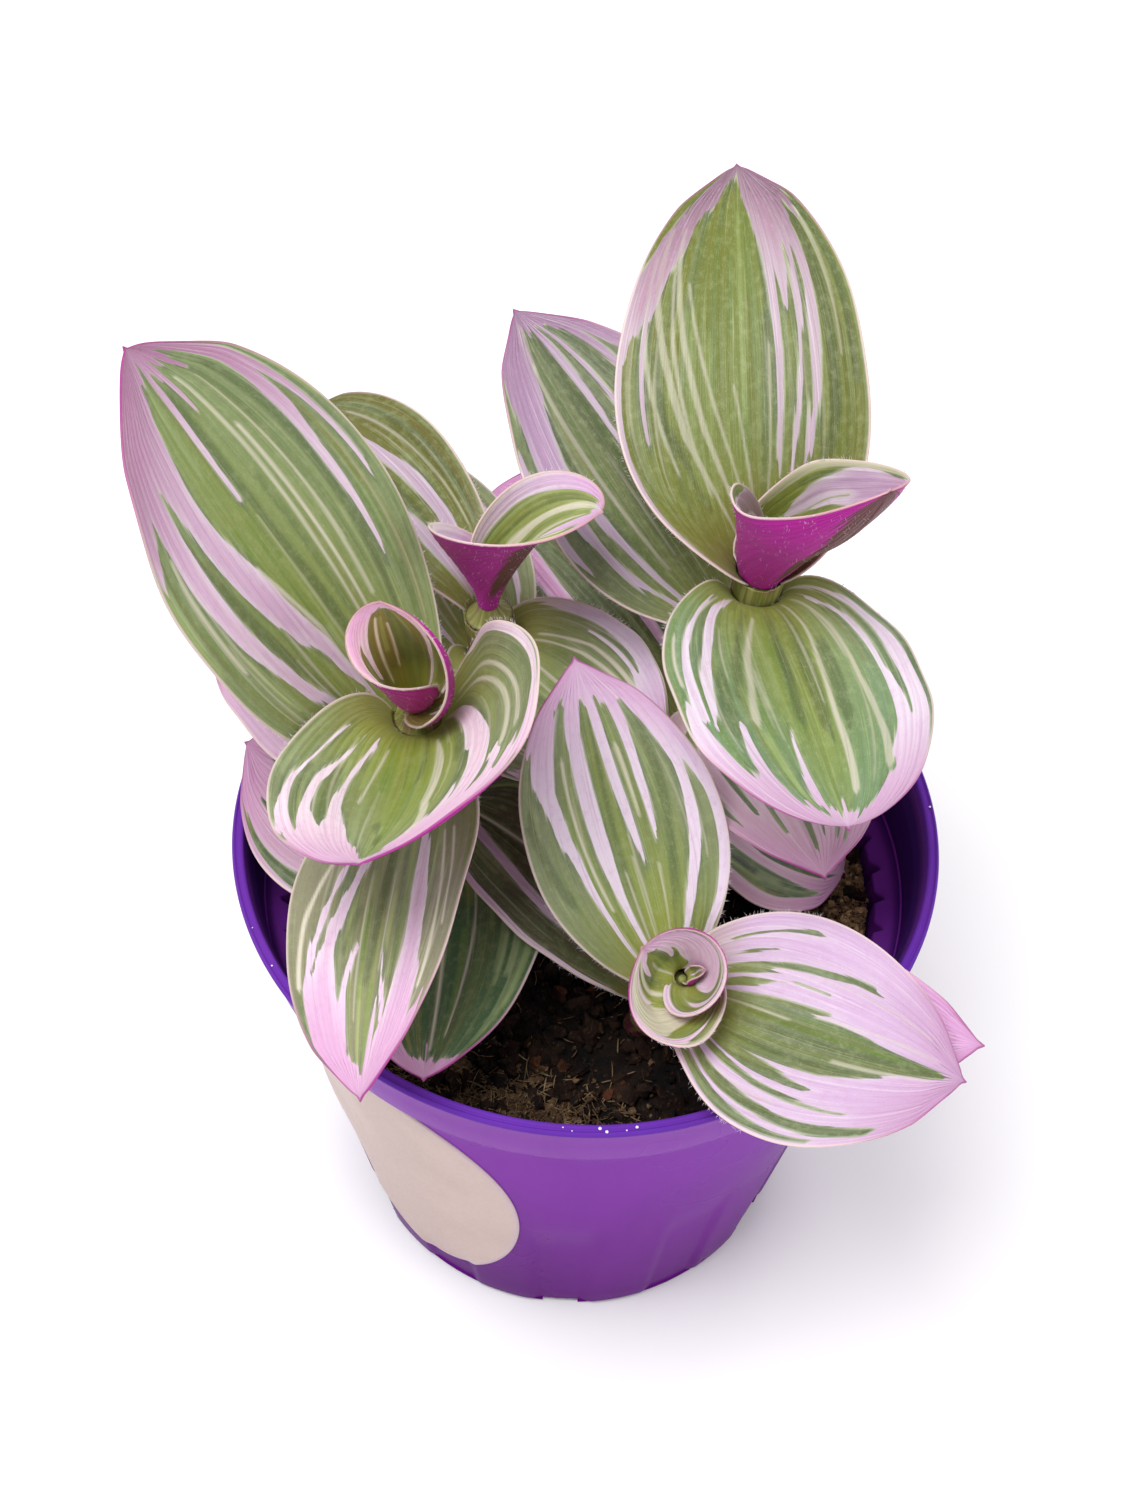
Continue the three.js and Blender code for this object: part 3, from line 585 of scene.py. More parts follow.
# Colours as they look on a screen.
DEFAULT_PINK = (0.82, 0.68, 0.79)
WHITE = (0.89, 0.85, 0.88)
CREAM = (0.86, 0.83, 0.76)
TIP_PINK = (0.76, 0.54, 0.71)
DEFAULT_GREEN = (0.49, 0.53, 0.38)
LIME = (0.52, 0.58, 0.24)
DARK_GREEN = (0.31, 0.37, 0.21)
EDGE_GREEN = (0.36, 0.42, 0.31)
BASE_GREEN = (0.60, 0.58, 0.28)
BASE_PALE = (0.78, 0.72, 0.58)
YOUNG_GREEN = (0.62, 0.63, 0.24)
RIM_BASE, RIM_PINK, RIM_YOUNG = (0.86, 0.78, 0.76), (0.62, 0.24, 0.52), (0.78, 0.62, 0.62)
# Tones of the green's strips, and how often each is drawn at the midrib and at the margins.
TONES = [(0.40, 0.52, 0.18), (0.62, 0.68, 0.48), (0.34, 0.41, 0.22), (0.50, 0.49, 0.24),
         (0.66, 0.73, 0.42)]
TONE_INNER = (0.36, 0.14, 0.14, 0.18, 0.18)
TONE_OUTER = (0.06, 0.40, 0.28, 0.18, 0.08)


def linear(color):
    """Scene-linear value of a colour given as it looks on a screen."""
    color = np.asarray(color, float)
    return np.where(color <= 0.04045, color / 12.92, ((color + 0.055) / 1.055) ** 2.4)


def rgba(color):
    return (*linear(color), 1.0)


def mix(a, b, t):
    """The value at t, 0 to 1, between a and b."""
    return a + (b - a) * t


def smooth(x, low, high):
    """An eased step from 0 at low to 1 at high."""
    t = np.clip((x - low) / (high - low), 0, 1)
    return t * t * (3 - 2 * t)


def laid(color, over, amount):
    """A linear colour with another one, given as it looks, laid over it."""
    return mix(color, linear(over), amount[..., None])


def waves(rng, x, count, fastest):
    """A smooth random line of about -1 to 1 along x."""
    total = np.zeros_like(x, dtype=float)
    for _ in range(count):
        total += np.sin(x * rng.uniform(0.3, 1) * fastest + rng.uniform(0, 2 * np.pi))
    return total / math.sqrt(count)


# --- Materials ---------------------------------------------------------------------------------


class Graph:
    """A node material, with one call for each kind of node."""

    def __init__(self, name, **surface):
        self.material = bpy.data.materials.new(name)
        self.material.use_nodes = True
        self.nodes = self.material.node_tree.nodes
        self.links = self.material.node_tree.links
        self.surface = self.nodes["Principled BSDF"]
        self.fill(self.surface, surface)

    def fill(self, node, inputs):
        for name, value in inputs.items():
            socket = node.inputs[name.replace("_", " ") if isinstance(name, str) else name]
            if isinstance(value, bpy.types.NodeSocket):
                self.links.new(value, socket)
            else:
                socket.default_value = value

    def node(self, kind, settings=None, **inputs):
        node = self.nodes.new("ShaderNode" + kind)
        for name, value in (settings or {}).items():
            setattr(node, name, value)
        self.fill(node, inputs)
        return node

    def attribute(self, name, output="Fac"):
        return self.node("Attribute", dict(attribute_name=name)).outputs[output]

    def place(self):
        return self.node("TexCoord").outputs["Object"]

    def math(self, operation, a, b):
        node = self.node("Math", dict(operation=operation))
        self.fill(node, {0: a, 1: b})
        return node.outputs[0]

    def scaled(self, vector, scale):
        node = self.node("VectorMath", dict(operation="MULTIPLY"))
        self.fill(node, {0: vector, 1: scale})
        return node.outputs[0]

    def noise(self, vector, scale, detail, roughness=0.55, distortion=0.0):
        inputs = dict(Scale=scale, Detail=detail, Roughness=roughness, Distortion=distortion)
        return self.node("TexNoise", None, Vector=vector, **inputs).outputs["Fac"]

    def streaks(self, fibre, scale, detail, roughness=0.55):
        """Noise in the leaf's own millimetres, drawn out along its veins."""
        return self.noise(self.scaled(fibre, (*scale, 1)), 1.0, detail, roughness)

    def spread(self, value, low, high, to_low=0.0, to_high=1.0):
        """The value eased from one range to another."""
        node = self.node("MapRange", dict(interpolation_type="SMOOTHSTEP"))
        self.fill(node, {0: value, 1: low, 2: high, 3: to_low, 4: to_high})
        return node.outputs[0]

    def mix(self, factor, a, b):
        node = self.node("Mix", dict(data_type="RGBA", clamp_factor=True))
        a, b = (rgba(c) if isinstance(c, tuple) else c for c in (a, b))
        self.fill(node, {0: factor, 6: a, 7: b})
        return node.outputs[2]

    def tint(self, color, over, value, low, high, amount):
        """The colour with another laid over it where the value is high."""
        return self.mix(self.spread(value, low, high, 0.0, amount), color, over)

    def ramp(self, value, low, high, a, b):
        return self.mix(self.spread(value, low, high), a, b)

    def bump(self, height, distance, strength=1.0, normal=None):
        node = self.node("Bump", None, Height=height, Distance=distance, Strength=strength)
        if normal is not None:
            self.links.new(normal, node.inputs["Normal"])
        return node.outputs[0]

    def finish(self, color, roughness, normal):
        self.fill(self.surface, {"Base_Color": color, "Roughness": roughness, "Normal": normal})
        return self.material


def centred(graph, value, amount):
    """A 0 to 1 noise as an offset of plus or minus about half of amount."""
    return graph.math("MULTIPLY", graph.math("SUBTRACT", value, 0.5), amount)


def pale_edge(graph, fibre):
    """The signed distance to the nearest pale marking, in mm, frayed along the veins."""
    slow = graph.streaks(fibre, (2.2, 0.10), 2.0)
    fast = graph.streaks(fibre, (7.0, 0.40), 2.0)
    frayed = graph.math("ADD", graph.attribute("pale"), centred(graph, slow, 0.22))
    return graph.math("ADD", frayed, centred(graph, fast, 0.16))


def leaf_top_material():
    g = Graph("leaf_top", Subsurface_Weight=0.10, Subsurface_Radius=(1, 0.75, 0.5),
              Subsurface_Scale=0.0006, Specular_IOR_Level=0.40, Sheen_Weight=0.03,
              Sheen_Roughness=0.4)
    fibre = g.attribute("fibre", "Vector")
    edge = pale_edge(g, fibre)
    veil = g.streaks(fibre, (1.6, 0.07), 1.0)
    veins = g.streaks(fibre, (4.4, 0.05), 3.0, 0.65)
    cells = g.streaks(fibre, (9.0, 3.4), 2.0)
    mottle = g.streaks(fibre, (1.1, 0.8), 4.0, 0.65)

    ground = g.attribute("ground", "Color")
    ground = g.tint(ground, (0.74, 0.78, 0.58), veins, 0.54, 0.74, 0.26)
    ground = g.tint(ground, (0.34, 0.39, 0.20), veins, 0.46, 0.30, 0.28)
    ground = g.tint(ground, (0.66, 0.70, 0.52), mottle, 0.45, 0.70, 0.20)
    soft = g.math("MULTIPLY", g.spread(edge, -0.38, 0.0, 0.0, 0.5), g.spread(veil, 0.46, 0.58))
    ground = g.mix(soft, ground, (0.80, 0.80, 0.72))
    ground = g.tint(ground, (0.88, 0.92, 0.80), cells, 0.55, 0.80, 0.16)

    pale = g.attribute("pale_tint", "Color")
    pale = g.tint(pale, (0.92, 0.88, 0.90), veins, 0.52, 0.72, 0.35)
    pale = g.tint(pale, (0.68, 0.48, 0.64), veins, 0.48, 0.30, 0.30)
    pale = g.tint(pale, (0.74, 0.56, 0.71), mottle, 0.48, 0.72, 0.28)
    pale = g.tint(pale, (0.97, 0.93, 0.96), cells, 0.58, 0.80, 0.22)

    color = g.ramp(edge, -0.065, 0.065, ground, pale)
    rim = g.spread(g.attribute("rim"), 0.36, 0.10, 0.0, 0.75)
    color = g.mix(rim, color, g.attribute("rim_tint", "Color"))
    roughness = g.spread(cells, 0.2, 0.8, 0.34, 0.50)
    relief = g.math("ADD", veins, g.math("MULTIPLY", cells, 0.40))
    return g.finish(color, roughness, g.bump(relief, 0.00010, 0.8))


def leaf_under_material():
    g = Graph("leaf_under", Subsurface_Weight=0.08, Subsurface_Radius=(1, 0.4, 0.6),
              Subsurface_Scale=0.0006, Specular_IOR_Level=0.20, Sheen_Weight=0.03,
              Sheen_Roughness=0.5)
    fibre = g.attribute("fibre", "Vector")
    veins = g.streaks(fibre, (3.4, 0.06), 3.0, 0.7)
    blotch = g.streaks(fibre, (1.3, 0.16), 3.0, 0.6)
    cells = g.streaks(fibre, (6.0, 2.2), 2.0)
    ground = g.mix(veins, (0.27, 0.12, 0.15), (0.47, 0.24, 0.26))
    vivid = g.mix(veins, (0.60, 0.03, 0.50), (0.80, 0.12, 0.68))
    amount = g.math("ADD", g.attribute("blush"), centred(g, blotch, 0.9))
    color = g.ramp(amount, 0.34, 0.66, ground, vivid)
    pale_base = g.mix(veins, (0.52, 0.54, 0.30), (0.74, 0.74, 0.54))
    color = g.tint(color, pale_base, g.attribute("base"), 0.35, 0.95, 0.9)
    rim = g.spread(g.attribute("rim"), 0.30, 0.10, 0.0, 0.85)
    color = g.mix(rim, color, g.attribute("rim_tint", "Color"))
    roughness = g.spread(cells, 0.2, 0.8, 0.36, 0.52)
    relief = g.math("ADD", veins, g.math("MULTIPLY", cells, 0.5))
    return g.finish(color, roughness, g.bump(relief, 0.00014, 0.9))


def sheath_material():
    g = Graph("sheath", Subsurface_Weight=0.15, Subsurface_Radius=(1, 0.7, 0.5),
              Subsurface_Scale=0.0006, Specular_IOR_Level=0.35)
    fibre = g.attribute("fibre", "Vector")
    veins = g.streaks(fibre, (2.6, 0.12), 3.0, 0.65)
    blotch = g.streaks(fibre, (0.5, 0.4), 2.0)
    color = g.ramp(veins, 0.44, 0.64, (0.48, 0.49, 0.24), (0.62, 0.61, 0.38))
    color = g.tint(color, (0.50, 0.28, 0.32), blotch, 0.48, 0.66, 0.55)
    return g.finish(color, g.spread(veins, 0.2, 0.8, 0.4, 0.5), g.bump(veins, 0.0001, 0.8))


def stem_material():
    g = Graph("stem", Subsurface_Weight=0.10, Subsurface_Radius=(1, 0.5, 0.4),
              Subsurface_Scale=0.0008, Specular_IOR_Level=0.40)
    fibre = g.attribute("fibre", "Vector")
    streak = g.streaks(fibre, (1.6, 0.08), 3.0)
    blotch = g.streaks(fibre, (0.35, 0.22), 3.0)
    color = g.ramp(streak, 0.42, 0.60, (0.38, 0.16, 0.20), (0.52, 0.40, 0.28))
    color = g.tint(color, (0.46, 0.16, 0.28), blotch, 0.45, 0.62, 0.7)
    dots = g.streaks(fibre, (2.5, 2.2), 1.0)
    color = g.tint(color, (0.70, 0.60, 0.45), dots, 0.66, 0.74, 0.5)
    young = g.spread(g.attribute("young"), 0.0, 1.0)
    color = g.mix(young, color, g.mix(streak, (0.46, 0.50, 0.22), (0.66, 0.66, 0.40)))
    return g.finish(color, g.spread(blotch, 0.2, 0.8, 0.35, 0.5), g.bump(streak, 0.00012, 0.8))


def hair_material():
    g = Graph("hair", Subsurface_Weight=0.3, Subsurface_Scale=0.0005, Specular_IOR_Level=0.5)
    shade = g.noise(g.place(), 900.0, 1.0)
    color = g.mix(shade, (0.88, 0.80, 0.82), (0.96, 0.94, 0.92))
    return g.finish(color, g.spread(shade, 0.2, 0.8, 0.4, 0.6), g.bump(shade, 0.00001, 0.3))


def pot_material():
    g = Graph("pot_plastic", Specular_IOR_Level=0.012)
    place = g.place()
    height = g.node("SeparateXYZ", None, Vector=place).outputs["Z"]
    flow = g.noise(g.scaled(place, (1, 1, 0.12)), 160.0, 3.0)
    cloud = g.noise(place, 38.0, 3.0)
    grain = g.noise(place, 2600.0, 2.0)
    scuffs = g.noise(g.scaled(place, (1, 1, 5)), 240.0, 4.0, 0.7)
    # Painted shade and light: the wall darkens towards the foot and is lighter from the shoulder
    # up; the lip above is a bluer violet.
    color = g.ramp(height, 0.0, 0.066, (0.35, 0.025, 0.44), (0.49, 0.19, 0.63))
    color = g.ramp(height, 0.0630, 0.0645, color, (0.52, 0.26, 0.65))
    color = g.ramp(height, 0.0727, 0.0731, color, (0.38, 0.19, 0.62))
    color = g.tint(color, (0.55, 0.26, 0.66), cloud, 0.35, 0.7, 0.20)
    color = g.tint(color, (0.30, 0.05, 0.42), flow, 0.45, 0.75, 0.10)
    # Painted shade: a dark navy is mixed in inside the pot, where its inner wall lies in shadow.
    inner = g.attribute("inner")
    color = g.mix(g.math("MULTIPLY", inner, 0.85), color, (0.12, 0.05, 0.34))
    dust = g.spread(scuffs, 0.66, 0.78, 0.0, 0.05)
    color = g.mix(dust, color, (0.62, 0.44, 0.68))
    roughness = g.math("ADD", g.spread(cloud, 0.3, 0.7, 0.24, 0.34), g.math("MULTIPLY", dust, 0.5))
    normal = g.bump(grain, 0.00002, 0.35)
    return g.finish(color, roughness, g.bump(flow, 0.00006, 0.25, normal))


def label_material():
    g = Graph("label_film", Specular_IOR_Level=0.45, Coat_Weight=0.15, Coat_Roughness=0.3)
    place = g.place()
    cloud = g.noise(place, 60.0, 3.0)
    grain = g.noise(place, 1800.0, 3.0)
    creases = g.noise(g.scaled(place, (1, 1, 0.5)), 120.0, 4.0, 0.6, 0.6)
    color = g.ramp(cloud, 0.35, 0.65, (0.75, 0.65, 0.62), (0.71, 0.61, 0.58))
    color = g.tint(color, (0.68, 0.59, 0.60), creases, 0.60, 0.70, 0.25)
    # Painted shade: a slightly darker lilac towards the film's edge.
    painted_edge_shade = g.spread(g.attribute("rim"), 1.0, 0.2, 0.0, 0.45)
    color = g.mix(painted_edge_shade, color, (0.72, 0.62, 0.72))
    roughness = g.spread(grain, 0.3, 0.7, 0.38, 0.50)
    normal = g.bump(grain, 0.00001, 0.5)
    return g.finish(color, roughness, g.bump(creases, 0.0002, 0.35, normal))


def soil_material(name, dark, light, fleck):
    g = Graph(name, Specular_IOR_Level=0.25)
    place = g.place()
    clods = g.noise(place, 220.0, 4.0, 0.65)
    grit = g.noise(place, 1100.0, 4.0, 0.7)
    fibres = g.noise(g.scaled(place, (1, 0.25, 1)), 900.0, 2.0, 0.6, 1.5)
    color = g.ramp(clods, 0.36, 0.66, dark, light)
    color = g.tint(color, fleck, grit, 0.56, 0.74, 0.7)
    color = g.tint(color, fleck, fibres, 0.62, 0.70, 0.5)
    roughness = g.spread(grit, 0.2, 0.8, 0.75, 0.98)
    normal = g.bump(clods, 0.0012, 0.7)
    return g.finish(color, roughness, g.bump(grit, 0.0004, 0.9, normal))


def perlite_material():
    g = Graph("perlite", Subsurface_Weight=0.1, Subsurface_Scale=0.0006)
    grit = g.noise(g.place(), 1500.0, 3.0, 0.7)
    color = g.mix(grit, (0.74, 0.70, 0.66), (0.95, 0.94, 0.92))
    return g.finish(color, g.spread(grit, 0.2, 0.8, 0.7, 0.9), g.bump(grit, 0.0002, 0.9))


def floor_material():
    g = Graph("floor", Specular_IOR_Level=0.2)
    cloud = g.noise(g.place(), 3.0, 2.0)
    color = g.mix(cloud, (0.965, 0.965, 0.965), (0.98, 0.98, 0.98))
    return g.finish(color, g.spread(cloud, 0.2, 0.8, 0.6, 0.7), g.bump(cloud, 0.0001, 0.1))


# --- Mesh helpers ------------------------------------------------------------------------------


# An attribute's type and the name of its field, for values of each breadth.
ATTRIBUTE_KINDS = {1: ("FLOAT", "value"), 3: ("FLOAT_VECTOR", "vector"),
                   4: ("FLOAT_COLOR", "color")}


def new_mesh(name, points, faces):
    """A mesh from points in mm."""
    mesh = bpy.data.meshes.new(name)
    mesh.from_pydata((np.asarray(points) * MM).tolist(), [], [tuple(f) for f in faces])
    return mesh


def new_object(name, data):
    """An object in the scene."""
    made = bpy.data.objects.new(name, data)
    bpy.context.scene.collection.objects.link(made)
    return made


def make_piece(name, points, faces, materials, slot, attributes=None, face_material=None,
               replaces=(), sharp_angle=None):
    """A piece from points in mm. An attribute has one row for each point."""
    mesh = new_mesh(name, points, faces)
    shell = bmesh.new()
    shell.from_mesh(mesh)
    if shell.calc_volume(signed=True) < 0:
        mesh.flip_normals()
    shell.free()
    for material in materials:
        mesh.materials.append(material)
    if face_material is not None:
        mesh.polygons.foreach_set("material_index", np.asarray(face_material, np.int32))
    mesh.polygons.foreach_set("use_smooth", np.ones(len(mesh.polygons), bool))
    for key, values in (attributes or {}).items():
        values = np.asarray(values, np.float32)
        kind, field = ATTRIBUTE_KINDS[values[0].size]
        mesh.attributes.new(key, kind, "POINT").data.foreach_set(field, values.ravel())
    if sharp_angle:
        mesh.set_sharp_from_angle(angle=math.radians(sharp_angle))
    mesh.update()
    piece = new_object(name, mesh)
    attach(piece, "root")
    if replaces:
        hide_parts(*replaces)
    return piece


def grid_faces(rows, columns, wrap=False):
    """Quads of a grid of points, row by row; wrap joins the last column to the first."""
    i = np.arange(rows - 1)[:, None]
    j = np.arange(columns if wrap else columns - 1)[None, :]
    k = (j + 1) % columns
    corners = [i * columns + j, (i + 1) * columns + j, (i + 1) * columns + k, i * columns + k]
    return np.stack([c.ravel() for c in np.broadcast_arrays(*corners)], 1)


def tube_faces(rows, around):
    """The faces of a closed tube of rings, with a cap at each end."""
    faces = grid_faces(rows, around, wrap=True)[:, ::-1].tolist()
    first, last = range(around - 1, -1, -1), range((rows - 1) * around, rows * around)
    return faces + [list(first), list(last)]


def icosphere(radius):
    """Points and faces of a ball."""
    shell = bmesh.new()
    bmesh.ops.create_icosphere(shell, subdivisions=2, radius=radius)
    points = np.array([v.co for v in shell.verts])
    faces = np.array([[v.index for v in f.verts] for f in shell.faces])
    shell.free()
    return points, faces


def joined(parts):
    """The points and faces of several meshes as those of one."""
    points, faces, start = [], [], 0
    for part_points, part_faces in parts:
        points.append(part_points)
        faces.extend(tuple(int(v) + start for v in face) for face in part_faces)
        start += len(part_points)
    return np.concatenate(points), faces


def unit(vectors):
    """Each vector scaled to a length of one."""
    return vectors / np.maximum(np.linalg.norm(vectors, axis=-1, keepdims=True), TINY)


def sheet_normals(grid):
    """The direction that a grid of points faces at each point."""
    return unit(np.cross(np.gradient(grid, axis=0), np.gradient(grid, axis=1)))


def full_turn(count):
    """Angles evenly spaced round a ring."""
    return np.linspace(0, 2 * np.pi, count, endpoint=False)


def lathe(radius, z, angle):
    """A grid of points at each radius and height, turned through the angles."""
    return np.stack([radius * np.cos(angle), radius * np.sin(angle), z + 0 * angle], -1)


def border(rows, columns):
    """The points round a grid, in order."""
    along = [i * columns for i in range(rows - 1)]
    top = [(rows - 1) * columns + j for j in range(columns - 1)]
    down = [i * columns + columns - 1 for i in range(rows - 1, 0, -1)]
    low = [j for j in range(columns - 1, 0, -1)]
    return np.array(along + top + down + low)


def thick_sheet(grid, thickness):
    """Points and faces of a closed sheet about a grid; faces come top, underside, then edge."""
    rows, columns = grid.shape[:2]
    offset = sheet_normals(grid) * (thickness / 2)[..., None]
    points = np.concatenate([(grid + offset).reshape(-1, 3), (grid - offset).reshape(-1, 3)])
    top = grid_faces(rows, columns)
    under = top[:, ::-1] + rows * columns
    ring = border(rows, columns)
    after = np.roll(ring, -1)
    edge = np.stack([after, ring, ring + rows * columns, after + rows * columns], 1)
    return points, np.concatenate([top, under, edge]), len(top)


# --- Leaves ------------------------------------------------------------------------------------


def stem_point(path, t):
    """The point at t, 0 to 1, of a stem: a curve through its foot and tip, bent by the middle."""
    a, b, c = (np.array(p, float) for p in path)
    t = np.asarray(t, float)[..., None]
    return (1 - t) ** 2 * a + 2 * t * (1 - t) * b + t * t * c


def stem_frame(path, t):
    """Origin and axes of a stem at t: side, other and up as the rows of a matrix."""
    a, b, c = (np.array(p, float) for p in path)
    up = unit(2 * (1 - t) * (b - a) + 2 * t * (c - b))
    side = unit(np.cross((0, 1, 0), up))
    return stem_point(path, t), np.array([side, np.cross(up, side), up])


def stem_time(path, z):
    """How far along a stem, 0 to 1, it reaches height z."""
    a, b, c = (p[2] for p in path)
    bend, slope = a - 2 * b + c, 2 * (b - a)
    if abs(bend) < 1e-6:
        return (z - a) / slope
    return (math.sqrt(slope * slope - 4 * bend * (a - z)) - slope) / (2 * bend)


def outline_width(s, base, tip, point=POINT):
    """The outline's width, 1 at its widest; point narrows it just before the tip."""
    def curve(x):
        return (x + BASE_OFFSET) ** base * np.clip(1 - x, 0, 1) ** tip
    narrowing = 1 - point * smooth(s, 0.86, 0.985)
    return curve(s) / curve((base - tip * BASE_OFFSET) / (base + tip)) * narrowing


def midrib(leaf, radius):
    """Points, left and over directions along the blade, in the frame of the stem at the node."""
    end = 1 + TIP_POINT / leaf["length"]
    s = np.linspace(0, end, SPINE_STEPS + 1)
    base, tip = (math.radians(r) for r in leaf["rise"])
    rise = mix(base, tip, s) + (math.radians(SHEATH_START_RISE) - base) * np.exp(-s / SHEATH_TURN)
    heading = np.radians(leaf["heading"] + leaf["swing"] * s)
    ahead = lathe(np.cos(rise), np.sin(rise), heading)
    left = np.stack([-np.sin(heading), np.cos(heading), 0 * s], 1)
    over = np.cross(ahead, left)
    tilt = (math.radians(leaf["tilt"]) * (1 - np.exp(-((s / 0.12) ** 1.5))))[:, None]
    steps = (ahead[1:] + ahead[:-1]) / 2 * leaf["length"] * end / SPINE_STEPS
    out = np.array([math.cos(heading[0]), math.sin(heading[0]), 0])
    point = np.concatenate([[radius * out], radius * out + np.cumsum(steps, 0)])
    if "roll" in leaf:
        narrow, sink, high = leaf.get("neck", NECK)
        pull = (1 - smooth(s, 0, high))[:, None]
        point = point - pull * ((radius - narrow) * out + (0, 0, sink))
    left, over = (left * np.cos(tilt) + over * np.sin(tilt),
                  over * np.cos(tilt) - left * np.sin(tilt))
    return s, point, left, over


def blade_surface(leaf, s, u):
    """Points of the blade at s (rows) and u (columns), and its half width in mm there."""
    radius = CROWN_SHEATH_RADIUS if "roll" in leaf else SHEATH_RADIUS
    spine_s, point, left, over = midrib(leaf, radius)
    point, left, over = (
        np.stack([np.interp(s, spine_s, v[:, k]) for k in range(3)], 1)[:, None, :]
        for v in (point, left, over))
    s, u = s[:, None], u[None, :]
    plain = outline_width(np.minimum(s, 1), *leaf["shape"], leaf.get("point", POINT))
    plain = leaf["width"] / 2 * plain
    half = plain * (1 + np.where(u >= 0, 1, -1) * leaf["skew"] * (1 - np.exp(-s / 0.15)))
    left_over = np.clip((1 + TIP_POINT / leaf["length"] - s) * leaf["length"] / TIP_POINT, 0, 1.6)
    half = np.maximum(half, 0.05 + 0.30 * left_over * (s > 0.8))
    if "roll" in leaf:
        end = np.where(u >= 0, *leaf["roll"])
        unroll = np.where(u >= 0, *leaf["unroll"])
        narrow, _, high = leaf.get("neck", NECK)
        bend = half / mix(mix(narrow, radius, smooth(s, 0, high)), end, np.minimum(s, 1) ** unroll)
        fold = 0 * s
    else:
        (left_base, left_tip), (right_base, right_tip) = leaf["cup"]
        cup = np.where(u >= 0, mix(left_base, left_tip, s), mix(right_base, right_tip, s))
        clasp = leaf["width"] / 2 * outline_width(0.0, *leaf["shape"]) / radius
        bend = np.radians(cup) + (clasp - np.radians(cup)) * np.exp(-s / 0.07)
        fold = math.radians(FOLD) * (1 - np.exp(-s / 0.1))
    bend = np.where(np.abs(bend) < 1e-4, 1e-4, bend)
    arc = half / bend
    sideways, upward = arc * np.sin(u * bend), arc * (1 - np.cos(u * bend))
    across = sideways * np.cos(fold) - np.sign(u) * upward * np.sin(fold)
    above = np.abs(sideways) * np.sin(fold) + upward * np.cos(fold)
    return point + left * across[..., None] + over * above[..., None], half


def read_stroke(text):
    """A stroke's kind and its stops, as rows of s, u and half width."""
    kind, *stops = text.split()
    return kind, np.array([[float(v) for v in stop.split(",")] for stop in stops])


def vein_steps(rng, u, width, size=0.62):
    """A random line of -1 to 1 over u that is level within each vein's breadth."""
    count = max(int(width / size), 8)
    values = rng.uniform(-1, 1, count + 3)
    x = (u + 1) / 2 * count
    k = np.clip(np.floor(x).astype(int), 0, count)
    return mix(values[k], values[k + 1], smooth(x - k, 0.30, 0.70))


def stroke_distance(stops, s, u, half, length, rng, steps=None):
    """How far inside a stroke each point is, in mm; negative outside."""
    wander = 0.010 * waves(rng, s * 9, 3, 1.0)
    swell = 1 + 0.12 * waves(rng, s * 13, 3, 1.0)
    stepped = s if steps is None else s + steps
    centre = np.interp(stepped, stops[:, 0], stops[:, 1]) + wander
    width = np.interp(stepped, stops[:, 0], stops[:, 2]) * swell
    beyond = np.maximum(stops[0, 0] - stepped, 0) + np.maximum(stepped - stops[-1, 0], 0)
    return (width - np.abs(u - centre)) * half - 0.5 * beyond * length


def tone_strips(rng, ground, leaf, s, u):
    """Narrow strips of lighter, darker and yellower green that end bluntly along the veins."""
    for _ in range(int(leaf["width"] * 2.6)):
        centre = rng.uniform(-1, 1)
        inner = 1 - abs(centre)
        half_width = rng.uniform(0.10, 0.55) / (leaf["width"] / 2)
        low = rng.uniform(-0.25, 0.85)
        high = low + rng.uniform(0.12, 0.65)
        across = smooth(half_width - np.abs(u - centre), -0.010, 0.014)
        along = smooth(s, low - 0.02, low + 0.012) * (1 - smooth(s, high - 0.008, high + 0.012))
        tone = TONES[rng.choice(len(TONES), p=TONE_INNER if rng.random() < inner else TONE_OUTER)]
        amount = (rng.uniform(0.12, 0.55) * across * along)[..., None]
        ground = mix(ground, linear(tone), amount)
    return ground


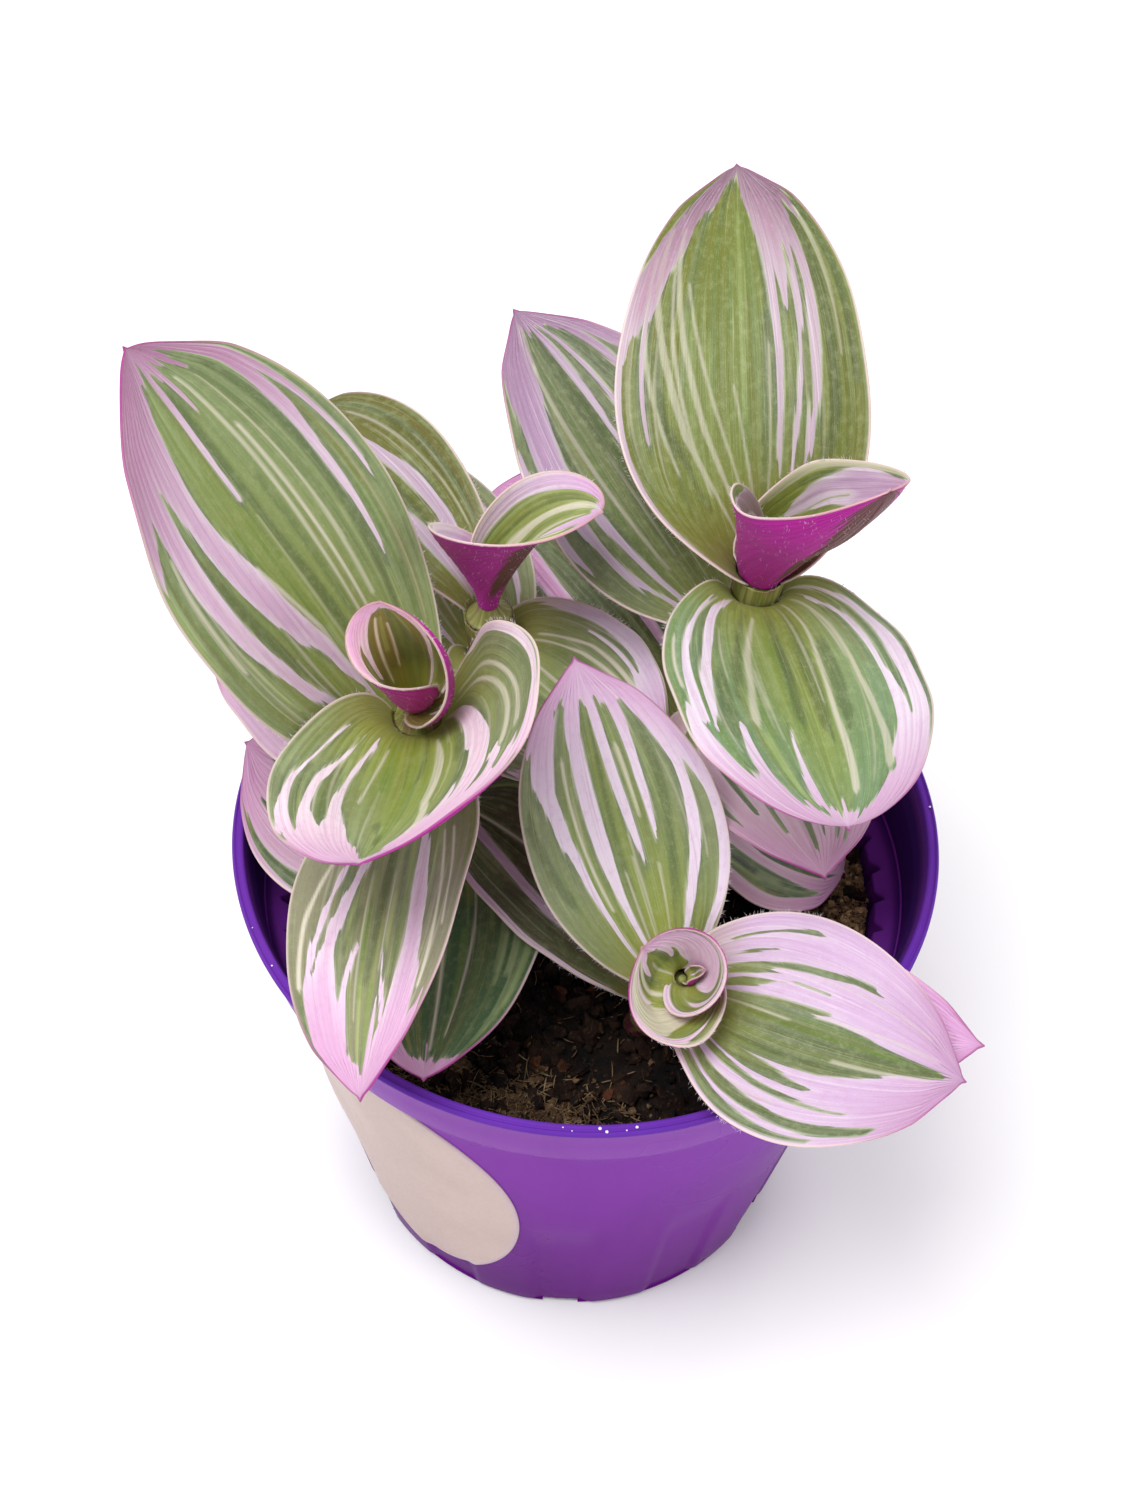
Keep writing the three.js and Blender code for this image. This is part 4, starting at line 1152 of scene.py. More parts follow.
def paint(leaf, marks, s, u, half, rng):
    """The fields that the leaf materials read, on the grid of s and u."""
    s, u = s[:, None], u[None, :]
    length, width = leaf["length"], leaf["width"]
    crown = "roll" in leaf
    pink_ground = marks.get("ground") == "pink"
    pink = linear(marks.get("pink", DEFAULT_PINK))
    green = linear(marks.get("green", DEFAULT_GREEN))
    shade = marks.get("shade", 1.0)
    shape = np.broadcast(s, u).shape
    ragged = (0.4 if crown else 1) / length
    steps = vein_steps(rng, u, width) * 1.3 * ragged + vein_steps(rng, u, width, 1.5) * 0.7 * ragged
    pale = np.full(shape, 3.0 if pink_ground else -3.0)
    dark = np.full(shape, -3.0)
    cream = np.zeros(shape)
    if not pink_ground:
        teeth = marks["rag"] * (vein_steps(rng, u, width, 0.9) + vein_steps(rng, u, width, 2.6))
        pale = np.maximum(pale, (s - marks["tip"] - teeth) * length * 0.6)
    for text in marks["strokes"].split("\n")[1:-1]:
        kind, stops = read_stroke(text)
        inside = stroke_distance(stops, s, u, half, length, rng, None if kind == "W" else steps)
        if kind == "D":
            dark = np.maximum(dark, inside)
        elif kind == "G":
            pale = np.minimum(pale, -inside)
        elif kind == "W":
            cream = np.maximum(cream, smooth(inside, -0.16, 0.12) * rng.uniform(0.65, 0.95))
        else:
            pale = np.maximum(pale, inside)
    for _ in range(marks["lines"]):
        at, low = rng.uniform(-0.92, 0.92), rng.uniform(0.05, 0.45)
        high = low + rng.uniform(0.2, 0.5)
        stops = np.array([[low, at, 0.003], [(low + high) / 2, at, 0.010], [high, at, 0.004]])
        inside = stroke_distance(stops, s, u, half, length, rng)
        cream = np.maximum(cream, smooth(inside, -0.14, 0.08) * rng.uniform(0.25, 0.7))

    outward = np.abs(u) * 0.9 + s * 0.75 + 0.12 * vein_steps(rng, u, width, 1.2)
    lime = marks["lime"] * smooth(1.15 - outward, 0, 0.9)
    ground = laid(green, LIME, lime)
    ground = tone_strips(rng, ground, leaf, s, u)
    ground = laid(ground, DARK_GREEN, 0.6 * smooth(dark, -0.25, 0.25))
    edged = smooth(pale, -1.0, -0.12) * smooth(vein_steps(rng, u, width, 0.8), -0.6, 0.5)
    ground = laid(ground, EDGE_GREEN, 0.62 * edged)
    base = (1 - smooth(s, 0.01, 0.15)) * (0.4 if crown else 1)
    ground = laid(ground, BASE_GREEN, 0.75 * base)
    glow = 0.5 * (1 - smooth(s, 0.04, 0.36)) * (0.3 + 0.7 * smooth(np.abs(u), 0.9, 0.1))
    ground = laid(ground, YOUNG_GREEN, glow)
    ground = laid(ground, marks.get("cream", CREAM), 0.85 * cream)

    toward_tip = smooth(s + 0.2 * np.abs(u), 0.70, 1.15)
    whiter = (0.3 if pink_ground else 0.55) * (1 - smooth(pale, 0.1, 1.3)) * (1 - toward_tip)
    tint = laid(pink, WHITE, whiter)
    tint = laid(tint, marks.get("tip_pink", TIP_PINK), 0.75 * toward_tip)
    tint = laid(tint, CREAM, 0.5 * cream)
    tint = laid(tint, BASE_PALE, 0.6 * base)

    rim = np.minimum((1 - np.abs(u)) * half, (1.02 - s) * length * 1.2)
    rim_tint = laid(linear(RIM_BASE), RIM_YOUNG if crown else RIM_PINK, smooth(s, 0.6, 0.97))
    if crown:
        keel = np.abs(u) + 0.10 * vein_steps(rng, u, width, 1.4) + 0.6 * (0.38 - s)
        blush = smooth(keel + marks.get("vivid", 0), 0.32, 0.66)
    else:
        blush = 0.25 + 0.75 * smooth(pale, -0.4, 0.4)
    fields = dict(pale=pale, rim=rim, base=base, blush=blush)
    fields = {key: np.broadcast_to(value, shape) for key, value in fields.items()}
    # Painted light and shade: the ground and pale colours are scaled by the leaf's shade factor.
    return dict(fields, ground=ground * shade, pale_tint=tint * shade,
                rim_tint=np.broadcast_to(rim_tint, (*shape, 3)))


def row_places(leaf):
    """Rows from base to tip, closer together at both ends."""
    count = max(int(leaf["length"] / ROW_STEP), 50)
    even = np.linspace(0, 1, count)
    eased = (1 - np.cos(even * np.pi)) / 2
    return mix(even, eased, 0.45) * (1 + TIP_POINT / leaf["length"])


def column_places(leaf):
    """Columns from the right margin to the left, closer together at the margins."""
    count = 2 * int(leaf["width"] / 2 / COLUMN_STEP) + 1
    even = np.linspace(-1, 1, count)
    return np.sign(even) * (1 - (1 - np.abs(even)) ** 1.12)


def relief(leaf, s, u, rng):
    """Height of the veins, pleats and a slight ripple of the margin, in mm."""
    s, u = s[:, None], u[None, :]
    across = u * leaf["width"] / 2
    fade = smooth(s, 0.0, 0.15) * smooth(1 - s, 0.0, 0.12)
    veins = 0.028 * np.cos(across * 2 * np.pi / 1.15 + 0.8 * waves(rng, s * 5, 3, 1.0))
    pleats = 0.10 * waves(rng, across * 1.0, 4, 1.0) * smooth(np.abs(u), 0.05, 0.3)
    ripple = 0.28 * waves(rng, s * 24 + 3 * np.sign(u), 3, 1.0) * np.abs(u) ** 5
    groove = -0.16 * np.exp(-((across / 0.55) ** 2))
    size = 0.5 if "roll" in leaf else 1.0
    return fade * (veins + size * (pleats + ripple) + groove)


def doubled(values, color=True):
    """The values of a grid, once for its top and once for its underside."""
    flat = values.reshape(-1, *values.shape[2:])
    if color and flat.ndim == 2:
        flat = np.concatenate([flat, np.ones((len(flat), 1))], 1)
    return np.concatenate([flat, flat])


def make_sheet_piece(name, path, leaf, grid, thickness, s, u, fields, layer, materials, **more):
    """A leaf's sheet set on its stem; layer keeps its noise apart from that of other leaves."""
    origin, axes = stem_frame(path, stem_time(path, leaf["node"]))
    points, faces, tops = thick_sheet(grid, thickness)
    fibre = np.stack(np.broadcast_arrays(
        u[None, :] * leaf["width"] / 2, s[:, None] * leaf["length"], layer), 2)
    attributes = {key: doubled(values) for key, values in fields.items()}
    attributes["fibre"] = doubled(fibre, color=False)
    slot = "young_leaf" if "roll" in leaf else "leaf"
    return make_piece(name, origin + points @ axes, faces, materials, slot, attributes,
                      np.arange(len(faces)) >= tops, **more)


def make_blade(node, path, leaf, marks, index, top, under):
    rng = np.random.default_rng(SEEDS["blade"] + index)
    s, u = row_places(leaf), column_places(leaf)
    grid, half = blade_surface(leaf, s, u)
    grid = grid + sheet_normals(grid) * relief(leaf, s, u, rng)[..., None]
    rim = np.minimum((1 - np.abs(u[None, :])) * half, np.abs(1 - s[:, None]) * leaf["length"])
    thickness = mix(MARGIN_THICKNESS, BLADE_THICKNESS, np.sqrt(np.clip(rim / 2.2, 0, 1)))
    fields = paint(leaf, marks, s, u, half, rng)
    return make_sheet_piece(node + "_blade", path, leaf, grid, thickness, s, u, fields, 7.3 * index,
                            [top, under], replaces=[node])


def make_sheath(node, path, leaf, below, index, material):
    """The thin tube that clasps the stem below a blade, with its mouth highest at the blade."""
    around, rows = 56, 20
    crown = "roll" in leaf
    narrow, sink, _ = leaf.get("neck", NECK) if crown else (SHEATH_RADIUS, 0, 0)
    place = leaf["node"] - sink
    stem_radius = mix(STEM_BASE_RADIUS, STEM_TIP_RADIUS, stem_time(path, place))
    reach = min(max(place - below - 0.5, leaf["sheath"]), SHEATH_LONGEST)
    angle = full_turn(around)
    facing = (1 + np.cos(angle - math.radians(leaf["heading"]))) / 2
    top = 0.2 + 0.5 * facing ** 2
    rng = np.random.default_rng(SEEDS["sheath"] + index)
    top = top + 0.12 * waves(rng, angle * 3, 3, 2.0) * (1 - facing)
    t = np.linspace(0, 1, rows)[:, None]
    height = mix(-reach, top[None, :], t)
    rise = np.clip((height + reach) / reach, 0, 1)
    foot = stem_radius + 0.40
    if place - below < SHEATH_JOIN:
        foot = max(foot, SHEATH_RADIUS - 0.1)
    outer = mix(foot, narrow + 0.10, rise ** (0.6 if crown else 1))
    outer = outer + 0.04 * np.cos(angle * 14)[None, :]
    wall = SHEATH_WALL * (1 - 0.5 * t)
    grid = np.concatenate([lathe(outer, height, angle),
                           lathe((outer - wall)[::-1], height[::-1], angle)])
    faces = grid_faces(2 * rows, around, wrap=True)[:, ::-1]
    last = (2 * rows - 1) * around
    j = np.arange(around)
    k = (j + 1) % around
    closing = np.stack([last + j, last + k, k, j], 1)
    origin, axes = stem_frame(path, stem_time(path, place))
    fibre = np.stack(np.broadcast_arrays(
        angle * SHEATH_RADIUS, grid[..., 2], 3.1 * index), 2)
    slot = "young_leaf" if crown else "leaf"
    return make_piece(node + "_sheath", origin + grid.reshape(-1, 3) @ axes,
                      np.concatenate([faces, closing]), [material], slot,
                      dict(fibre=fibre.reshape(-1, 3)))


def hair_cones(roots, tips, radius):
    """A closed three-sided spike for each root and tip."""
    count = len(roots)
    along = unit(tips - roots)
    helper = np.where(np.abs(along[:, 2:]) < 0.8, (0.0, 0.0, 1.0), (1.0, 0.0, 0.0))
    side = unit(np.cross(along, helper))
    other = np.cross(along, side)
    corners = [roots + radius * (math.cos(a) * side + math.sin(a) * other)
               for a in (0, 2 * np.pi / 3, 4 * np.pi / 3)]
    points = np.stack([*corners, tips], 1).reshape(-1, 3)
    faces = []
    for a, b, c in ((0, 1, 3), (1, 2, 3), (2, 0, 3), (0, 2, 1)):
        faces.append(np.arange(count)[:, None] * 4 + np.array([a, b, c]))
    return points, np.concatenate(faces)


def make_hairs(shoot_name, path, leaves, material):
    """Fine hairs on the sheath mouths, on the lower margins and on the backs of young leaves."""
    rng = np.random.default_rng(SEEDS["hairs"] + len(leaves) * 3)
    roots, tips = [], []
    for leaf in leaves:
        origin, axes = stem_frame(path, stem_time(path, leaf["node"]))
        crown = "roll" in leaf
        s = np.sort(rng.uniform(0.01, 0.9 if crown else 0.35, MARGIN_HAIRS))
        u = np.linspace(-1, 1, 81)
        grid, _ = blade_surface(leaf, s, u)
        for k in range(MARGIN_HAIRS):
            left = rng.random() < 0.5
            edge, inward = (80, 76) if left else (0, 4)
            out = unit(unit(grid[k, edge] - grid[k, inward]) + rng.normal(0, 0.35, 3))
            roots.append(origin + grid[k, edge] @ axes)
            tips.append(origin + (grid[k, edge] + out * rng.uniform(0.35, 0.8)) @ axes)
        if crown:
            normal = sheet_normals(grid)
            for _ in range(BACK_HAIRS):
                i, j = rng.integers(0, MARGIN_HAIRS), rng.integers(3, 78)
                place = grid[i, j] - normal[i, j] * BLADE_THICKNESS * 0.4
                out = unit(rng.normal(0, 0.45, 3) - normal[i, j])
                roots.append(origin + place @ axes)
                tips.append(origin + (place + out * rng.uniform(0.25, 0.5)) @ axes)
        for _ in range(0 if crown else MOUTH_HAIRS):
            radius = SHEATH_RADIUS + 0.05
            angle = rng.uniform(0, 2 * np.pi)
            facing = (1 + math.cos(angle - math.radians(leaf["heading"]))) / 2
            place = lathe(radius, 0.25 + 0.7 * facing ** 2, angle)
            out = np.array([math.cos(angle) * 0.4, math.sin(angle) * 0.4, 1.0])
            out = unit(out + rng.normal(0, 0.25, 3))
            roots.append(origin + place @ axes)
            tips.append(origin + (place + out * rng.uniform(0.5, 1.0)) @ axes)
    points, faces = hair_cones(np.array(roots), np.array(tips), HAIR_RADIUS)
    return make_piece(shoot_name + "_hairs", points, faces, [material], "leaf")


def make_stem(node, path, leaves, index, material):
    """A stem with swollen nodes."""
    around, rows = 48, 150
    top = stem_time(path, leaves[0]["node"] - leaves[0].get("neck", NECK)[1] - 0.3)
    t = np.linspace(0, top, rows)
    rng = np.random.default_rng(SEEDS["stem"] + index)
    angle = full_turn(around)
    radius = mix(STEM_BASE_RADIUS, STEM_TIP_RADIUS, t) + 0.04 * waves(rng, t * 40, 3, 1.0)
    for leaf in leaves:
        away = (t - stem_time(path, leaf["node"])) * STEM_LENGTH
        radius = radius + NODE_SWELL * np.exp(-((away / NODE_SPREAD) ** 2))
    radius = radius * mix(0.35, 1, smooth(top - t, 0.0, 0.07))
    points, fibre = [], []
    for k in range(rows):
        origin, axes = stem_frame(path, t[k])
        ridge = radius[k] * (1 + 0.012 * np.cos(angle * 9))
        points.append(origin + lathe(ridge, 0, angle) @ axes)
        fibre.append(np.stack(np.broadcast_arrays(
            angle * radius[k], t[k] * STEM_LENGTH, index * 9), 1))
    points, fibre = np.concatenate(points), np.concatenate(fibre)
    young = np.repeat(smooth(t, top - 0.22, top - 0.06), around)
    return make_piece(node + "_skin", points, tube_faces(rows, around), [material], "stem",
                      dict(fibre=fibre, young=young), replaces=[node])


def make_bud(name, path, crown, index, top, under):
    """The next leaf, still a narrow scroll, in the heart of a young leaf."""
    leaf = leaf_row(crown["node"], crown["heading"] + 180, 0, (86, 80), 0, 6.5, 7, (0.5, 0.9), 0, 1,
                    roll=(1.0, 1.3), unroll=(0.9, 0.9))
    marks = dict(tip=0.85, rag=0.02, lime=0.4, lines=1, pink=(0.84, 0.62, 0.76),
                 green=(0.55, 0.55, 0.30), strokes=BUD_STROKES)
    rng = np.random.default_rng(SEEDS["bud"] + index)
    s = np.linspace(0, 1 + TIP_POINT / leaf["length"], 60)
    u = np.linspace(-1, 1, 61)
    grid, half = blade_surface(leaf, s, u)
    grid = grid * (0.5, 0.5, 0.7)
    fields = paint(leaf, marks, s, u, half, rng)
    rim = np.minimum((1 - np.abs(u[None, :])) * half, (1 - s[:, None]) * leaf["length"])
    thickness = mix(0.12, 0.3, np.sqrt(np.clip(rim / 1.5, 0, 1)))
    make_sheet_piece(name, path, leaf, grid, thickness, s, u, fields, 60 + index, [top, under])


def make_shoots():
    top, under = leaf_top_material(), leaf_under_material()
    sheath, stem, hair = sheath_material(), stem_material(), hair_material()
    index = 0
    for shoot_name, shoot in SHOOTS.items():
        path, leaves = shoot["path"], shoot["leaves"]
        make_stem(shoot_name + "_stem", path, leaves, index, stem)
        make_bud(shoot_name + "_bud", path, leaves[0], index, top, under)
        for k, leaf in enumerate(leaves):
            node = f"{shoot_name}_leaf_{k + 1}"
            marks = MARKS.get(node, PLAIN_MARKS[index % 2])
            below = leaves[k + 1]["node"] if k + 1 < len(leaves) else leaf["node"] - 4
            make_blade(node, path, leaf, marks, index, top, under)
            make_sheath(node, path, leaf, below, index, sheath)
            index += 1
        make_hairs(shoot_name, path, leaves, hair)


# --- Pot ---------------------------------------------------------------------------------------


def wall_radius(z):
    """Outside radius of the wall at a height."""
    return mix(FOOT_RADIUS, SHOULDER_RADIUS, z / SHOULDER_HEIGHT)


def rounded(corners, reach, steps=3):
    """A profile with its corners rounded by curves that start at most reach away."""
    result = [corners[0]]
    for before, here, after in zip(corners, corners[1:], corners[2:]):
        before, here, after = (np.array(p, float) for p in (before, here, after))
        a, b = before - here, after - here
        size = min(reach, np.linalg.norm(a) * 0.45, np.linalg.norm(b) * 0.45)
        start, end = here + a / np.linalg.norm(a) * size, here + b / np.linalg.norm(b) * size
        for k in range(steps + 1):
            t = k / steps
            result.append(tuple((1 - t) ** 2 * start + 2 * t * (1 - t) * here + t * t * end))
    result.append(corners[-1])
    return result


def filled(profile, longest):
    """The same profile with long stretches split into shorter ones."""
    result = [profile[0]]
    for a, b in zip(profile, profile[1:]):
        a, b = np.array(a, float), np.array(b, float)
        count = max(int(np.linalg.norm(b - a) / longest), 1)
        result.extend(tuple(mix(a, b, (k + 1) / count)) for k in range(count))
    return result


def pot_profile():
    """Outside from the middle of the foot to the lip, then inside down to the floor."""
    outside = [
        (0, 0), (PAD_RADIUS, 0), (PAD_RADIUS + 1, FLOOR_RAISE),
        (FOOT_RING_INSIDE - 1, FLOOR_RAISE), (FOOT_RING_INSIDE, 0), (FOOT_RADIUS - 0.8, 0),
        (FOOT_RADIUS, 0.8), (SHOULDER_RADIUS, SHOULDER_HEIGHT),
        (SHOULDER_RADIUS + 1.1, SHOULDER_HEIGHT + 0.6), (LIP_RADIUS - 0.85, POT_HEIGHT - 1.25),
        (LIP_RADIUS - 0.12, POT_HEIGHT - 1.05), (LIP_RADIUS, POT_HEIGHT - 0.5),
        (LIP_RADIUS - 0.3, POT_HEIGHT), (LIP_RADIUS - 0.65, POT_HEIGHT - 0.35),
        (LIP_RADIUS - 0.95, POT_HEIGHT),
    ]
    inside = [
        (LIP_RADIUS - 1.45, POT_HEIGHT - 0.1), (LIP_RADIUS - 1.75, POT_HEIGHT - 1.0),
        (LIP_RADIUS - 2.8, POT_HEIGHT - 4.5), (SHOULDER_RADIUS + 0.2, SHOULDER_HEIGHT),
        (SHOULDER_RADIUS - 0.8, RIB_TOP + 1.0), (wall_radius(RIB_TOP) - WALL - 0.2, RIB_TOP + 0.6),
        (wall_radius(RIB_TOP) - WALL - 0.2, RIB_TOP),
        (wall_radius(FLOOR_TOP + 1) - WALL, FLOOR_TOP + 1), (FOOT_RADIUS - 1.8, 2.4),
        (FOOT_RING_INSIDE + 0.6, 2.4), (FOOT_RING_INSIDE - 0.4, FLOOR_TOP),
        (PAD_RADIUS + 1.4, FLOOR_TOP), (PAD_RADIUS, 1.4), (0, 1.4),
    ]
    profile = rounded(outside + inside, 0.45)
    split = next(k for k, (radius, z) in enumerate(profile)
                 if z > POT_HEIGHT - 0.1 and radius < LIP_RADIUS - 0.9)
    return filled(profile[: split + 1], 3.4), filled(profile[split:], 1.35)


def panel_depth(angle, z):
    """How far the upright panels are set back into the lower wall."""
    fade = 1 - smooth(z, PANEL_TOP - 8, PANEL_TOP)
    return PANEL_DEPTH * smooth(np.cos(PANELS * angle), -0.2, 0.5) * fade


def rib_depth(angle, z):
    """Saw-toothed ribs: level over most of each pitch, then cut back and sloping in again."""
    place = (angle * RIBS / (2 * np.pi)) % 1
    ridge = smooth(place, 0.0, 0.30) * (1 - smooth(place, 0.93, 0.985))
    fade = smooth(z, RIB_BOTTOM - 1.2, RIB_BOTTOM) * (1 - smooth(z, RIB_TOP + 0.1, RIB_TOP + 0.9))
    return RIB_DEPTH * ridge * fade


def box_mesh(lengths, place, turn):
    """A box at a place, the whole turned about the pot's axis."""
    corners = np.array([[x, y, z] for x in (-1, 1) for y in (-1, 1) for z in (-1, 1)]) * lengths / 2
    corners = corners + place
    c, s = math.cos(turn), math.sin(turn)
    spin = np.array([[c, s, 0], [-s, c, 0], [0, 0, 1]])
    faces = [(0, 1, 3, 2), (4, 6, 7, 5), (0, 4, 5, 1), (2, 3, 7, 6), (0, 2, 6, 4), (1, 5, 7, 3)]
    return corners @ spin, faces


def drum_mesh(radius, low, high, x, y, sides=32):
    """An upright cylinder."""
    angle = full_turn(sides)
    ring = lathe(radius, 0, angle) + (x, y, 0)
    points = np.concatenate([ring + (0, 0, low), ring + (0, 0, high)])
    j = np.arange(sides)
    k = (j + 1) % sides
    faces = [tuple(f) for f in np.stack([j, k, k + sides, j + sides], 1)]
    return points, faces + [tuple(j[::-1]), tuple(j + sides)]


def cut_openings(pot):
    """Drain holes through the floor and notches in the foot ring."""
    pieces = []
    for k in range(DRAIN_HOLES):
        turn = 2 * math.pi * k / DRAIN_HOLES
        x, y = DRAIN_CIRCLE * math.cos(turn), DRAIN_CIRCLE * math.sin(turn)
        pieces.append(drum_mesh(DRAIN_RADIUS, -4, 8, x, y))
    for k in range(FOOT_NOTCHES):
        turn = 2 * math.pi * (k + 0.5) / FOOT_NOTCHES
        lengths = np.array([NOTCH_DEPTH, NOTCH_WIDTH, 2 * NOTCH_HEIGHT])
        pieces.append(box_mesh(lengths, np.array([FOOT_RADIUS - 2, 0, 0]), turn))
    cutter = new_object("pot_openings", new_mesh("pot_openings", *joined(pieces)))
    cut = pot.modifiers.new("openings", "BOOLEAN")
    cut.operation, cut.solver, cut.object = "DIFFERENCE", "MANIFOLD", cutter
    graph = bpy.context.evaluated_depsgraph_get()
    result = bpy.data.meshes.new_from_object(pot.evaluated_get(graph))
    pot.modifiers.clear()
    pot.data = result
    bpy.data.objects.remove(cutter)


def make_pot():
    outside, inside = pot_profile()
    profile = np.array(outside + inside[1:])
    outer_count = len(outside)
    angle = full_turn(POT_SEGMENTS)[None, :]
    radius, z = profile[1:-1, 0][:, None], profile[1:-1, 1][:, None]
    is_outer = (np.arange(1, len(profile) - 1) < outer_count)[:, None]
    on_wall = is_outer & (z > 0.5) & (radius > wall_radius(z) - 0.3)
    on_inner = (~is_outer) & (z < RIB_TOP + 1.2) & (z > 20)
    depth = np.where(on_wall, panel_depth(angle, z), 0) + np.where(on_inner, rib_depth(angle, z), 0)
    grid = lathe(radius - depth, z, angle)
    rows = grid.shape[0]
    # Painted shade inside the pot: full on the inner wall from just below the lip down to the ribs,
    # a third of it from the ribs down and on the floor, none outside.
    above_ribs = mix(0.35, 1, smooth(z, RIB_TOP + 0.8, RIB_TOP + 2))
    shade = np.where(~is_outer, smooth(POT_HEIGHT - z, 0.6, 2.0) * above_ribs, 0)
    inner = np.broadcast_to(shade, grid.shape[:2])
    points = np.concatenate([grid.reshape(-1, 3), [[0, 0, profile[0, 1]], [0, 0, profile[-1, 1]]]])
    faces = [tuple(f) for f in grid_faces(rows, POT_SEGMENTS, wrap=True)[:, ::-1]]
    low, high = len(points) - 2, len(points) - 1
    last = (rows - 1) * POT_SEGMENTS
    for j in range(POT_SEGMENTS):
        k = (j + 1) % POT_SEGMENTS
        faces.append((low, k, j))
        faces.append((high, last + j, last + k))
    values = np.concatenate([inner.ravel(), [0.0, 0.35]])
    pot = make_piece("pot_shell", points, faces, [pot_material()], "pot", dict(inner=values),
                     replaces=["pot"])
    cut_openings(pot)
    pot.data.set_sharp_from_angle(angle=math.radians(40))
    return pot


def make_specks():
    """Tiny drops that dried on the lip."""
    ball, faces = icosphere(1)
    drops = []
    for turn, inward, size in SPECKS:
        radius, a = LIP_RADIUS - inward, math.radians(turn)
        place = (radius * math.cos(a), radius * math.sin(a), POT_HEIGHT - 0.05)
        drops.append((ball * (size, size, size * 0.6) + place, faces))
    g = Graph("dried_drop", Specular_IOR_Level=0.5)
    grit = g.noise(g.place(), 3000.0, 2.0)
    color = g.mix(grit, (0.86, 0.80, 0.90), (0.98, 0.96, 0.99))
    material = g.finish(color, g.spread(grit, 0.2, 0.8, 0.3, 0.6), g.bump(grit, 0.00001, 0.5))
    return make_piece("lip_drops", *joined(drops), [material], "pot")


def make_label():
    rings, around = 26, 128
    reach = np.linspace(0, 1, rings) ** 0.8
    angle = full_turn(around)
    x = LABEL_HALF_WIDTH * reach[:, None] * np.cos(angle)[None, :]
    z = LABEL_HEIGHT + LABEL_HALF_HEIGHT * reach[:, None] * np.sin(angle)[None, :]
    turn = math.radians(LABEL_ANGLE) + x / wall_radius(LABEL_HEIGHT)
    rng = np.random.default_rng(SEEDS["label"])
    buckle = 0.02 * waves(rng, x * 0.7 + z * 0.3, 4, 1.0)
    lift = np.where(reach[:, None] > 0.985, 0.35, 1.0)
    sink = panel_depth(turn, z) * smooth(reach[:, None], 0.70, 0.95)
    layers = [lathe(wall_radius(z) + side - sink, z, turn)
              for side in (LABEL_GAP + LABEL_THICKNESS * lift + buckle, LABEL_GAP - LABEL_INSET)]
    front, back = (layer[1:] for layer in layers)
    count = (rings - 1) * around
    middles = (layer[0, :1] for layer in layers)
    points = np.concatenate([front.reshape(-1, 3), back.reshape(-1, 3), *middles])
    sheet = grid_faces(rings - 1, around, wrap=True)
    faces = [tuple(f) for f in sheet] + [tuple(f[::-1] + count) for f in sheet]
    last = (rings - 2) * around
    for j in range(around):
        k = (j + 1) % around
        faces.append((2 * count, j, k))
        faces.append((2 * count + 1, count + k, count + j))
        faces.append((last + k, last + j, count + last + j, count + last + k))
    edge = ((1 - reach[1:, None]) * LABEL_HALF_WIDTH + 0 * angle[None, :]).ravel()
    edge = np.concatenate([edge, edge, [LABEL_HALF_WIDTH, LABEL_HALF_WIDTH]])
    return make_piece("label_film", points, faces, [label_material()], "label", dict(rim=edge),
                      replaces=["label"])


# --- Soil --------------------------------------------------------------------------------------

# Each soil material's dark and light colour and that of its flecks.
SOIL_COLORS = {
    "soil": ((0.035, 0.022, 0.016), (0.12, 0.075, 0.052), (0.30, 0.21, 0.14)),
    "soil_crumb": ((0.05, 0.03, 0.02), (0.19, 0.115, 0.075), (0.38, 0.28, 0.18)),
    # soil_pale is partly the soil's own paler crumbs and partly painted light for the lit soil by
    # the rim.
    "soil_pale": ((0.22, 0.15, 0.10), (0.47, 0.37, 0.26), (0.66, 0.56, 0.42)),
    # Painted light: the next colours are much paler, for crumbs by the rim where the soil lies in
    # the shade of the leaves and the wall.
    "soil_dry": ((0.42, 0.32, 0.22), (0.66, 0.54, 0.38), (0.80, 0.70, 0.54)),
    "bark_chip": ((0.12, 0.06, 0.035), (0.34, 0.19, 0.11), (0.50, 0.34, 0.21)),
    "fibre": ((0.38, 0.29, 0.20), (0.60, 0.50, 0.37), (0.74, 0.65, 0.50)),
}
# Each piece of loose lumps: material, seed, count, smallest and largest size, how deep the lumps
# sit, and the arcs of the rim that they crowd by.
SOIL_LUMPS = {
    "soil_crumbs": ("soil_crumb", 41, 2300, 0.5, 3.2, 0.25, ()),
    # The pale crumbs are partly painted light, where the soil by the rim is lit.
    "soil_pale_crumbs": ("soil_pale", 42, 2400, 0.30, 1.2, 0.0, PALE_ARCS),
    # Painted light: these crumbs are much paler, laid by the rim where the soil lies in the shade
    # of the leaves and the wall.
    "soil_painted_light_crumbs": ("soil_dry", 44, 700, 0.35, 1.4, 0.0, [(4, 9)]),
    "soil_chips": ("bark_chip", 43, 120, 1.4, 4.2, 0.2, ()),
}
PERLITE_LUMPS = (47, 14, 0.4, 0.9, 0.2, ())
FIBRES = 1500


def soil_height(x, y):
    """Height of the soil's top, as in the solids."""
    swell = np.sin(x * 0.21 + 1.3) * np.cos(y * 0.17 - 0.4)
    crumbs = np.sin(x * 0.83 + y * 0.31) * np.sin(y * 0.71 - x * 0.27 + 2)
    return SOIL_LEVEL + SOIL_BUMP * (0.9 * swell + 0.7 * crumbs)


def soil_relief(rng, x, y):
    """Fine lumps on the soil, as a sum of waves in all directions, sharper on top."""
    total = np.zeros_like(x)
    for scale, size in ((0.9, 0.40), (1.9, 0.28), (3.6, 0.17), (6.5, 0.09)):
        part = np.zeros_like(x)
        for _ in range(7):
            a = rng.uniform(0, 2 * np.pi)
            f = scale * rng.uniform(0.7, 1.4)
            part += np.sin(f * (x * math.cos(a) + y * math.sin(a)) + rng.uniform(0, 6.3))
        total += size * (1 - np.abs(part) / 2.2)
    return total


